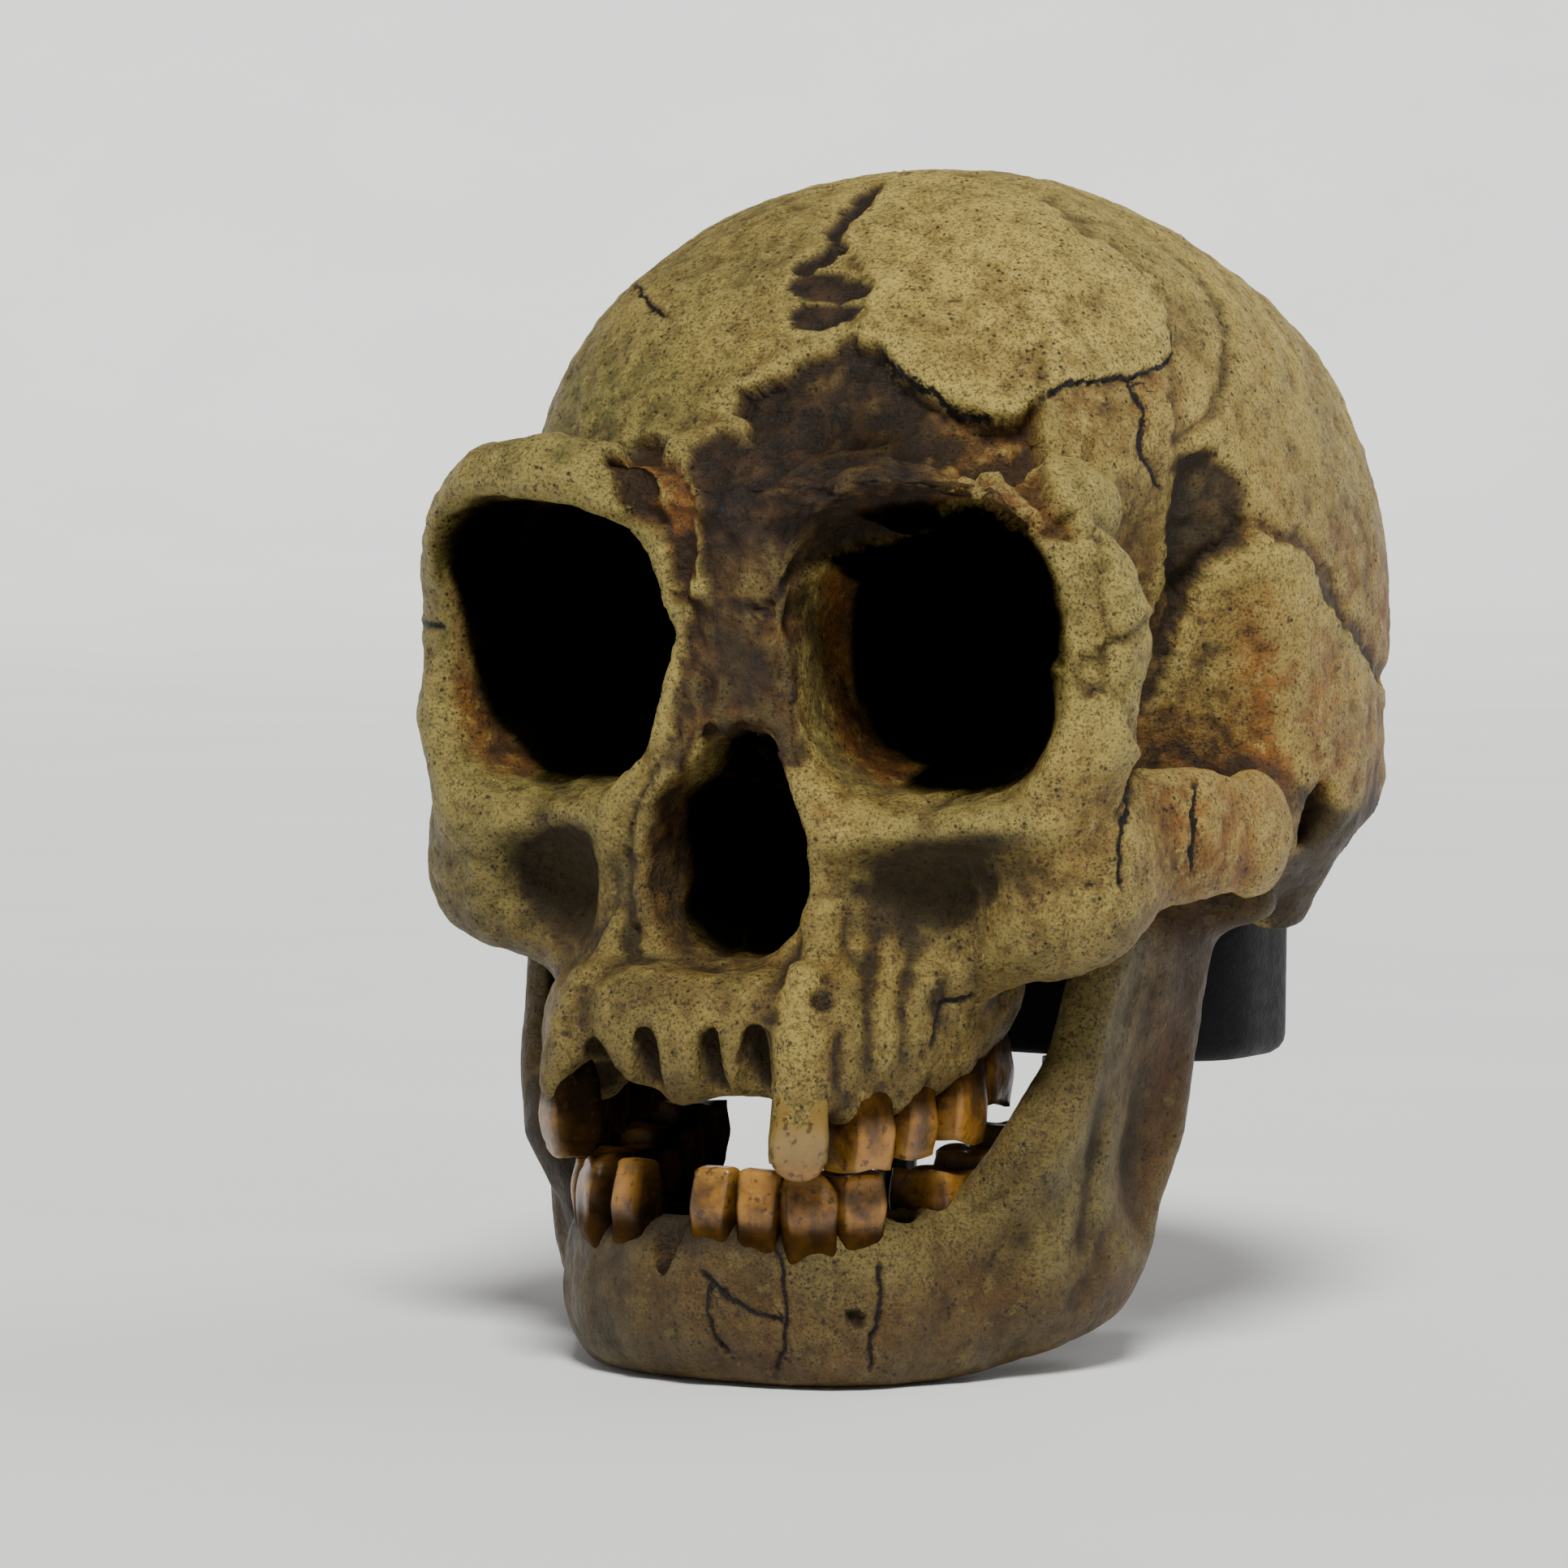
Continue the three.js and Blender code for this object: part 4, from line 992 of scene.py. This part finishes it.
class Nodes:
    def __init__(self, name):
        self.material = bpy.data.materials.new(name)
        self.material.use_nodes = True
        self.tree = self.material.node_tree
        self.shader = self.tree.nodes["Principled BSDF"]
        self.coordinates = self.tree.nodes.new("ShaderNodeTexCoord").outputs["Object"]

    def add(self, kind, **values):
        node = self.tree.nodes.new(kind)
        for key, value in values.items():
            setattr(node, key, value)
        return node

    def link(self, source, target):
        self.tree.links.new(source, target)

    def attribute(self, name):
        return self.add("ShaderNodeAttribute", attribute_name=name).outputs["Fac"]

    def noise(self, scale, detail=4.0, roughness=0.55):
        node = self.add("ShaderNodeTexNoise")
        self.link(self.coordinates, node.inputs["Vector"])
        node.inputs["Scale"].default_value = scale
        node.inputs["Detail"].default_value = detail
        node.inputs["Roughness"].default_value = roughness
        return node.outputs["Fac"]

    def cells(self, scale, feature="F1"):
        node = self.add("ShaderNodeTexVoronoi", feature=feature)
        self.link(self.coordinates, node.inputs["Vector"])
        node.inputs["Scale"].default_value = scale
        return node.outputs["Distance"]

    def span(self, value, low, high, to_low=0.0, to_high=1.0):
        node = self.add("ShaderNodeMapRange", interpolation_type="SMOOTHSTEP")
        self.link(value, node.inputs["Value"])
        for key, v in (("From Min", low), ("From Max", high), ("To Min", to_low), ("To Max", to_high)):
            node.inputs[key].default_value = v
        return node.outputs["Result"]

    def math(self, operation, a, b):
        node = self.add("ShaderNodeMath", operation=operation, use_clamp=operation == "MULTIPLY")
        for socket_, v in zip(node.inputs, (a, b)):
            if isinstance(v, (int, float)):
                socket_.default_value = v
            else:
                self.link(v, socket_)
        return node.outputs["Value"]

    def mix(self, factor, a, b, blend="MIX"):
        node = self.add("ShaderNodeMix", data_type="RGBA", blend_type=blend)
        for socket_, v in ((node.inputs["Factor"], factor), (node.inputs["A"], a), (node.inputs["B"], b)):
            if isinstance(v, (int, float, tuple)):
                socket_.default_value = v
            else:
                self.link(v, socket_)
        return next(o for o in node.outputs if o.type == "RGBA")

    # A colour laid over another as far as a factor and its weight say
    def layer(self, colour, factor, weight, tone):
        return self.mix(self.math("MULTIPLY", factor, weight), colour, tone)

    def bump(self, height, distance, strength=1.0, below=None):
        node = self.add("ShaderNodeBump")
        node.inputs["Distance"].default_value = distance
        node.inputs["Strength"].default_value = strength
        self.link(height, node.inputs["Height"])
        if below is not None:
            self.link(below, node.inputs["Normal"])
        return node.outputs["Normal"]


# The bone's colours, in the 0 to 255 of a screen
TAN = (148, 116, 60)
OLIVE = (124, 118, 66)
OCHRE = (150, 92, 28)
CREAM = (206, 180, 112)
UMBER = (96, 70, 34)
SMUDGE = (84, 60, 26)
PALE = (206, 184, 116)
WORN = (198, 178, 118)


def bone_material(name, main, shaded_copy):
    n = Nodes(name)
    # The lower jaw's copy is darker all over: painted shade
    deep = 0.62 if shaded_copy else 1.0

    def shade(tone):
        red, green, blue = tone
        return tint(red * deep, green * deep, blue * deep * 0.82)

    colour = n.mix(n.span(n.noise(60), 0.35, 0.65), main, shade(TAN))
    # olive also carries the painted shade of the right side, as a greener tone
    colour = n.mix(n.attribute("olive"), colour, shade(OLIVE))
    colour = n.mix(n.attribute("warm"), colour, shade(OCHRE))
    colour = n.mix(n.attribute("cream"), colour, shade(CREAM))
    blotch = n.span(n.noise(150, 8.0, 0.72), 0.46, 0.64)
    colour = n.layer(colour, blotch, 0.55, shade(UMBER))
    smudge = n.span(n.noise(480, 6.0, 0.7), 0.5, 0.63)
    colour = n.layer(colour, smudge, 0.45, shade(SMUDGE))
    light = n.span(n.noise(360, 6.0, 0.7), 0.54, 0.66)
    colour = n.layer(colour, light, 0.5, shade(PALE))
    colour = n.layer(colour, n.attribute("wear"), 0.55, shade(WORN))
    stain = n.mix(n.span(n.noise(300, 6.0, 0.65), 0.38, 0.64), tint(20, 15, 11), tint(74, 50, 25))
    colour = n.mix(n.attribute("recess"), colour, stain)
    # Grime, and painted shade in hollows and on the shaded sides, darken the colour here
    grime_and_shade = n.attribute("grime_and_shade")
    colour = n.layer(colour, grime_and_shade, 0.9, tint(36, 26, 13))
    grain = n.span(n.noise(2300, 3.0, 0.6), 0.48, 0.66)
    colour = n.layer(colour, grain, 0.65, tint(62, 44, 20))
    speckle = n.span(n.noise(1000, 5.0, 0.72), 0.55, 0.64)
    speckle_weight = n.math("MULTIPLY", speckle, n.math("ADD", n.math("MULTIPLY", grime_and_shade, 0.4), 0.6))
    colour = n.mix(speckle_weight, colour, tint(38, 27, 14))
    pits = n.span(n.cells(700), 0.14, 0.24, 1.0, 0.0)
    small = n.span(n.cells(1500), 0.18, 0.3, 1.0, 0.0)
    pits = n.math("MULTIPLY", pits, n.span(n.noise(150), 0.44, 0.56))
    small = n.math("MULTIPLY", small, n.span(n.noise(90), 0.36, 0.6))
    holes = n.math("MAXIMUM", pits, n.math("MULTIPLY", small, 0.8))
    colour = n.layer(colour, holes, 0.85, tint(24, 17, 9))
    wobble = n.span(n.noise(1400, 3.0, 0.6), 0.3, 0.7, -0.16, 0.16)
    apart = n.math("ABSOLUTE", n.math("ADD", n.attribute("crack"), wobble), 0.0)
    crack = n.math("MULTIPLY", n.span(apart, 0.16, 0.42, 1.0, 0.0), n.attribute("crack_mask"))
    colour = n.mix(crack, colour, tint(20, 13, 7))
    # Painted shade, near black, inside the openings and on the jaw's inner side, with the black patch in the
    # broken brow
    colour = n.mix(n.attribute("dark"), colour, tint(5, 4, 2))
    n.link(colour, n.shader.inputs["Base Color"])
    normal = n.bump(n.noise(1500, 5.0, 0.7), 0.0009, 0.9)
    normal = n.bump(n.noise(420, 6.0, 0.62), 0.0018, 0.8, normal)
    normal = n.bump(holes, 0.0009, -1.0, normal)
    normal = n.bump(crack, 0.0008, -0.8, normal)
    n.link(normal, n.shader.inputs["Normal"])
    n.link(n.span(n.noise(300), 0.3, 0.7, 0.42, 0.62), n.shader.inputs["Roughness"])
    n.link(n.span(n.attribute("dark"), 0.0, 0.8, 0.3, 0.0), n.shader.inputs["Specular IOR Level"])
    return n.material


def tooth_material():
    n = Nodes("tooth_enamel")
    colour = n.mix(n.span(n.noise(220), 0.35, 0.65), tint(74, 48, 13), tint(146, 100, 32))
    # Painted shade at the necks of the teeth and between them
    colour = n.layer(colour, n.attribute("neck"), 0.85, tint(24, 14, 5))
    colour = n.layer(colour, n.attribute("tip"), 0.3, tint(156, 116, 48))
    colour = n.layer(colour, n.attribute("pale"), 0.85, tint(126, 103, 54))
    # Painted shade: the inner faces of the right-hand teeth near black
    inner_side_shade = n.attribute("inner_side_shade")
    colour = n.layer(colour, inner_side_shade, 0.9, tint(10, 7, 4))
    streak = n.span(n.noise(800, 4.0, 0.6), 0.56, 0.66)
    colour = n.layer(colour, streak, 0.7, tint(40, 24, 9))
    n.link(colour, n.shader.inputs["Base Color"])
    n.link(n.bump(n.noise(500, 4.0, 0.6), 0.0005, 0.5), n.shader.inputs["Normal"])
    n.shader.inputs["Roughness"].default_value = 0.4
    shaded = n.math("MAXIMUM", inner_side_shade, n.math("MULTIPLY", n.attribute("neck"), 0.9))
    n.link(n.span(shaded, 0.0, 1.0, 0.45, 0.0), n.shader.inputs["Specular IOR Level"])
    n.link(n.span(shaded, 0.0, 0.8, 0.2, 0.0), n.shader.inputs["Coat Weight"])
    n.shader.inputs["Coat Roughness"].default_value = 0.12
    return n.material


def dark_material(name, colour, roughness, grain):
    n = Nodes(name)
    mixed = n.mix(n.math("MULTIPLY", n.span(n.noise(grain), 0.4, 0.62), 0.5), colour, tint(12, 12, 16))
    n.link(mixed, n.shader.inputs["Base Color"])
    n.link(n.span(n.noise(grain * 2), 0.3, 0.7, roughness, roughness + 0.12), n.shader.inputs["Roughness"])
    n.link(n.bump(n.noise(grain * 6, 4.0), 0.0003, 0.5), n.shader.inputs["Normal"])
    n.shader.inputs["Specular IOR Level"].default_value = 0.15
    return n.material


def floor_material():
    n = Nodes("pale_floor")
    pale = n.mix(n.span(n.noise(6), 0.3, 0.7), tint(236, 236, 234), tint(231, 231, 229))
    n.link(pale, n.shader.inputs["Base Color"])
    n.shader.inputs["Roughness"].default_value = 0.7
    return n.material


# Writes values at the points of a mesh as its attributes
def write_fields(mesh, fields):
    for key, values in fields.items():
        layer = mesh.attributes.new(key, "FLOAT", "POINT")
        layer.data.foreach_set("value", np.asarray(values, dtype=np.float32))


# Writes a dressed surface as a mesh object at the origin, in metres
def write_surface(name, s, material):
    mesh = bpy.data.meshes.new(name)
    points = (s.points + SHIFT) * MM
    mesh.vertices.add(len(points))
    mesh.vertices.foreach_set("co", points.ravel())
    mesh.loops.add(s.quads.size)
    mesh.loops.foreach_set("vertex_index", s.quads.ravel())
    mesh.polygons.add(len(s.quads))
    mesh.polygons.foreach_set("loop_start", np.arange(len(s.quads)) * 4)
    mesh.update(calc_edges=True)
    mesh.validate()
    write_fields(mesh, s.fields)
    mesh.materials.append(material)
    piece = bpy.data.objects.new(name, mesh)
    bpy.context.scene.collection.objects.link(piece)
    mesh.shade_smooth()
    return piece


def deselect_all():
    for other in bpy.context.scene.objects:
        other.select_set(False)


def select_only(piece):
    deselect_all()
    piece.select_set(True)
    bpy.context.view_layer.objects.active = piece


CRANIUM_NODES = ["frontal", "parietal_left", "parietal_right", "occipital", "temporal_left", "temporal_right",
                 "sphenoid", "zygomatic_left", "zygomatic_right", "maxilla"]


def spacing(label, whose, default, low, high):
    what = f"Spacing of {whose} mesh, in millimetres"
    return FloatProperty(name=label, description=what, default=default, min=low, max=high)


def colour_choice(label, what, default):
    return FloatVectorProperty(name=label, description=what, subtype="COLOR", size=4, default=default)


class SkullSizes(bpy.types.PropertyGroup):
    face_step: spacing("Face step", "the face's", 0.84, 0.4, 2.0)
    vault_step: spacing("Vault step", "the vault's", 1.9, 0.6, 4.0)
    jaw_step: spacing("Jaw step", "the lower jaw's", 0.72, 0.4, 2.0)
    bone_tint: colour_choice("Bone", "Main colour of the bone", tint(154, 136, 72))
    # The jaw's main colour is darker than the bone's, as painted shade
    jaw_tint: colour_choice("Jaw", "Main colour of the lower jaw", tint(92, 72, 34))
    pad_tint: colour_choice("Pad", "Colour of the padded block", tint(5, 5, 9))


class SKULL_OT_cranium(bpy.types.Operator):
    """Builds the braincase and face as one skin with its breaks, seams and pits"""
    bl_idname = "skull.cranium"
    bl_label = "Cranium"

    def execute(self, context):
        sizes = context.scene.skull_sizes
        fine, wide = sizes.face_step, sizes.vault_step
        half = lines(fine / 2, 63, lambda v: fine * 1.1)
        xs = np.concatenate([-half[::-1], half])
        ys = lines(-16, 143, lambda v: fine if v < 32 else min(wide, fine + (v - 32) * 0.08))
        zs = lines(-28, 106, lambda v: fine if v < 72 else min(wide, fine + (v - 72) * 0.05))
        points, quads = skin_of(cranium_field, xs, ys, zs)
        surface = Surface(points, quads)
        dress_cranium(surface)
        piece = write_surface("cranium", surface, bone_material("old_bone", tuple(sizes.bone_tint), False))
        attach(piece, "root")
        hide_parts(*CRANIUM_NODES)
        return {"FINISHED"}


class SKULL_OT_mandible(bpy.types.Operator):
    """Builds the lower jaw as one skin"""
    bl_idname = "skull.mandible"
    bl_label = "Lower jaw"

    def execute(self, context):
        sizes = context.scene.skull_sizes
        step = sizes.jaw_step
        half = lines(step / 2, 58, lambda v: step)
        xs = np.concatenate([-half[::-1], half])
        points, quads = skin_of(
            mandible_field, xs, lines(-12, 66, lambda v: step), lines(FLOOR_Z - 2.3, 16, lambda v: step)
        )
        surface = Surface(points, quads)
        dress_mandible(surface)
        piece = write_surface("lower_jaw", surface, bone_material("jaw_bone", tuple(sizes.jaw_tint), True))
        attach(piece, "root")
        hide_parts("mandible")
        return {"FINISHED"}


# Of each tooth: the length inside the bone, the longest crown, and how square its section is
BURIED = 5.0
MOST_CROWN = 9.4
SQUARENESS = 4.5


# One tooth, from a cube that is subdivided, squeezed and rounded in edit mode
def make_tooth(kind, x, y, neck_z, tip_z, turn, up, seed):
    wide, deep = TOOTH[kind]
    tall = abs(tip_z - neck_z)
    draw = np.random.RandomState(seed)
    bpy.ops.mesh.primitive_cube_add(size=2)
    tooth = bpy.context.object
    bpy.ops.object.mode_set(mode="EDIT")
    bpy.ops.mesh.subdivide(number_cuts=15, smoothness=0)
    bpy.ops.object.mode_set(mode="OBJECT")
    count = len(tooth.data.vertices)
    co = np.empty(count * 3)
    tooth.data.vertices.foreach_get("co", co)
    a, b, h = co.reshape(-1, 3).T.copy()
    level = (h + 1) / 2
    out = level * (tall + BURIED) - BURIED
    crown = min(tall, MOST_CROWN)
    rise = clamp((out - (tall - crown)) / crown)
    box = np.maximum(np.abs(a), np.abs(b)) + 1e-6
    fat = (box / ((np.abs(a) ** SQUARENESS + np.abs(b) ** SQUARENESS) ** (1 / SQUARENESS) + 1e-6)) * 0.98
    neck = 0.9
    belly = neck + (1 - neck) * smooth(0.0, 0.55, rise) - 0.10 * smooth(0.0, -5.0, out)
    tip = {"incisor": 0.04, "canine": 0.14, "premolar": 0.08, "molar": 0.05}[kind] * smooth(0.75, 1.0, rise)
    thin = {"incisor": 0.42, "canine": 0.3, "premolar": 0.16, "molar": 0.12}[kind] * smooth(0.35, 1.0, rise)
    root = 0.30 * smooth(0.5, -4.0, out)
    px = a * fat * (belly - tip) * wide / 2
    py = b * fat * (belly - thin - root) * deep / 2
    rim = clamp((box - 0.7) / 0.3)
    top = smooth(0.8, 1.0, level)
    drop = top * rim ** 2 * 0.55
    if kind in ("premolar", "molar"):
        turns = 2 if kind == "molar" else 1
        cusps = np.cos(px / wide * math.pi * turns + seed) * np.abs(b)
        out = out + top * (0.4 * cusps - 0.7 * (1 - rim))
    elif kind == "canine":
        out = out - top * (1.1 * np.abs(a) ** 2)
    out = out - drop + top * 0.35 * draw.uniform(-1, 1) * a
    local = np.stack([px, py, out], 1)
    local += np.stack([noise(local + seed * 7, 2.6, 3 + i) for i in range(3)], 1) * 0.2
    turned = 1 if up else -1
    angle = math.radians(turn + draw.uniform(-3, 3))
    c, s_ = math.cos(angle), math.sin(angle)
    lean = draw.uniform(-0.04, 0.04)
    bx, by = local[:, 0] * turned, local[:, 1]
    world = np.stack([
        x + c * bx - s_ * by + lean * local[:, 2],
        y + s_ * bx + c * by,
        neck_z + turned * local[:, 2],
    ], 1)
    tooth.data.vertices.foreach_set("co", ((world + SHIFT) * MM).ravel())
    write_fields(tooth.data, {
        # neck: painted shade at each crown's neck and on its sides next to the other teeth
        "neck": clamp(smooth(0.42, 0.06, rise) + 0.7 * smooth(0.8, 1.0, np.abs(a))),
        "tip": smooth(0.7, 1.0, rise),
        # inner_side_shade: painted shade on the inner faces of the right-hand teeth
        "inner_side_shade": smooth(-1.5, 2.5, world[:, 0] - x) * (x < -8.5),
        "pale": smooth(1.0, 0.6, rise) * (kind == "canine") * (x > 0) * (neck_z > -20),
    })
    tooth.data.shade_smooth()
    return tooth


def make_teeth(name, rows, up, material):
    made = []
    for i, (kind, x, y, neck_z, tip_z, turn) in enumerate(rows):
        deselect_all()
        made.append(make_tooth(kind, x, y, neck_z, tip_z, turn, up, i + (40 if up else 1)))
    select_only(made[0])
    for tooth in made:
        tooth.select_set(True)
    bpy.ops.object.join()
    row = bpy.context.object
    row.name = name
    row.data.name = name
    row.data.materials.clear()
    row.data.materials.append(material)
    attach(row, "root")
    return row


class SKULL_OT_teeth(bpy.types.Operator):
    """Builds the teeth of both jaws"""
    bl_idname = "skull.teeth"
    bl_label = "Teeth"

    def execute(self, context):
        enamel = tooth_material()
        make_teeth("upper_teeth", UPPER_TEETH, False, enamel)
        make_teeth("lower_teeth", LOWER_TEETH, True, enamel)
        return {"FINISHED"}


# The pad's upright corners are rounded first, then all of its edges. An edge is upright if it rises
# by more than UPRIGHT.
PAD_BEVELS = (("corners", 0.012, 8, "WEIGHT"), ("rim", 0.0028, 4, "ANGLE"))
UPRIGHT = 0.01


class SKULL_OT_stand(bpy.types.Operator):
    """Finishes the padded block, the rods and the plate"""
    bl_idname = "skull.stand"
    bl_label = "Stand"

    def execute(self, context):
        sizes = context.scene.skull_sizes
        pad = dark_material("pad_foam", tuple(sizes.pad_tint), 0.5, 300)
        steel = dark_material("black_paint", tint(16, 16, 20), 0.35, 500)
        low, high = (Vector(v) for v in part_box("stand_block"))
        deselect_all()
        bpy.ops.mesh.primitive_cube_add(size=1, location=(low + high) / 2, scale=high - low)
        block = bpy.context.object
        block.name = "pad_block"
        bpy.ops.object.transform_apply(location=True, rotation=True, scale=True)
        weights = block.data.attributes.new("bevel_weight_edge", "FLOAT", "EDGE")
        for edge in block.data.edges:
            a, b = (block.data.vertices[v].co for v in edge.vertices)
            weights.data[edge.index].value = 1.0 if abs(a.z - b.z) > UPRIGHT else 0.0
        for name, width, segments, limit in PAD_BEVELS:
            bevel = block.modifiers.new(name, "BEVEL")
            bevel.width = width
            bevel.segments = segments
            bevel.limit_method = limit
            bpy.ops.object.modifier_apply(modifier=name)
        bpy.ops.object.shade_smooth_by_angle(angle=math.radians(40))
        block.data.materials.append(pad)
        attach(block, "root")
        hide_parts("stand_block")
        for name in ("stand_rod_left", "stand_rod_right", "stand_base"):
            node = bpy.data.objects[name]
            for slot_ in node.material_slots:
                slot_.material = steel
        return {"FINISHED"}


FLOOR_RADIUS = 3.0
FLOOR_CURVE = 1.2
CURVE_STEPS = 10
FILM_WIDTH = 36
LIGHTS = (
    ("key", (0.40, -0.66, 1.15), 18, 4.4),
    ("fill", (-0.9, -0.5, 0.45), 60, 0.2),
    ("rim", (0.6, 0.7, 0.8), 40, 0.8),
)


class SKULL_OT_stage(bpy.types.Operator):
    """Sets the floor, the lights and the camera"""
    bl_idname = "skull.stage"
    bl_label = "Stage"

    def execute(self, context):
        deselect_all()
        bpy.ops.mesh.primitive_circle_add(
            vertices=128, radius=FLOOR_RADIUS, fill_type="NGON", location=(0, 0, 0)
        )
        floor = bpy.context.object
        floor.name = "floor"
        bpy.ops.object.mode_set(mode="EDIT")
        bpy.ops.mesh.select_mode(type="EDGE")
        bpy.ops.mesh.select_all(action="SELECT")
        bpy.ops.mesh.region_to_loop()
        for i in range(CURVE_STEPS):
            low, high = (math.radians(90 * k / CURVE_STEPS) for k in (i, i + 1))
            rise = FLOOR_CURVE * (math.cos(low) - math.cos(high))
            reach = [FLOOR_RADIUS + FLOOR_CURVE * math.sin(angle) for angle in (low, high)]
            grow = reach[1] / reach[0]
            bpy.ops.mesh.extrude_edges_move(TRANSFORM_OT_translate={"value": (0, 0, rise)})
            bpy.ops.transform.resize(value=(grow, grow, 1))
        bpy.ops.object.mode_set(mode="OBJECT")
        bpy.ops.object.shade_smooth()
        floor.data.materials.append(floor_material())
        world = bpy.data.worlds.new("soft_room")
        world.use_nodes = True
        world.node_tree.nodes["Background"].inputs["Color"].default_value = (1, 1, 1, 1)
        world.node_tree.nodes["Background"].inputs["Strength"].default_value = 0.16
        context.scene.world = world
        for name, place, angle, strength in LIGHTS:
            light = bpy.data.lights.new(name, "SUN")
            light.energy = strength
            light.angle = math.radians(angle)
            lamp = bpy.data.objects.new(name, light)
            lamp.location = place
            lamp.rotation_euler = (-Vector(place)).to_track_quat("-Z", "Y").to_euler()
            context.scene.collection.objects.link(lamp)
        camera = bpy.data.cameras.new("camera")
        holder = bpy.data.objects.new("camera", camera)
        context.scene.collection.objects.link(holder)
        place = VIEW_BACK * VIEW["distance"] + VIEW_RIGHT * VIEW["across"] + VIEW_UP * VIEW["up"]
        place = (Vector(SHIFT) + place) * MM
        rows = [(VIEW_RIGHT[i], VIEW_UP[i], VIEW_BACK[i], place[i]) for i in range(3)]
        holder.matrix_world = Matrix(rows + [(0, 0, 0, 1)])
        camera.sensor_width = FILM_WIDTH
        camera.lens = VIEW["focal"] / (2 * VIEW["centre"]) * FILM_WIDTH
        camera.clip_start = 0.01
        context.scene.camera = holder
        return {"FINISHED"}


class SKULL_PT_panel(bpy.types.Panel):
    """Lists the skull's pieces"""
    bl_idname = "SKULL_PT_panel"
    bl_label = "Fossil Skull"
    bl_space_type = "VIEW_3D"
    bl_region_type = "UI"
    bl_category = "Skull"

    def draw(self, context):
        sizes = context.scene.skull_sizes
        for name in SkullSizes.__annotations__:
            self.layout.prop(sizes, name)
        for operator in OPERATORS:
            self.layout.operator(operator.bl_idname)


OPERATORS = [SKULL_OT_cranium, SKULL_OT_mandible, SKULL_OT_teeth, SKULL_OT_stand, SKULL_OT_stage]
CLASSES = [SkullSizes, *OPERATORS, SKULL_PT_panel]


def register():
    for cls in CLASSES:
        bpy.utils.register_class(cls)
    bpy.types.Scene.skull_sizes = PointerProperty(type=SkullSizes)


def unregister():
    del bpy.types.Scene.skull_sizes
    for cls in reversed(CLASSES):
        bpy.utils.unregister_class(cls)


def main():
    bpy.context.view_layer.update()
    register()
    bpy.ops.skull.cranium()
    bpy.ops.skull.mandible()
    bpy.ops.skull.teeth()
    bpy.ops.skull.stand()
    bpy.ops.skull.stage()
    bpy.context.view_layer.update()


if __name__ == "__main__":
    main()
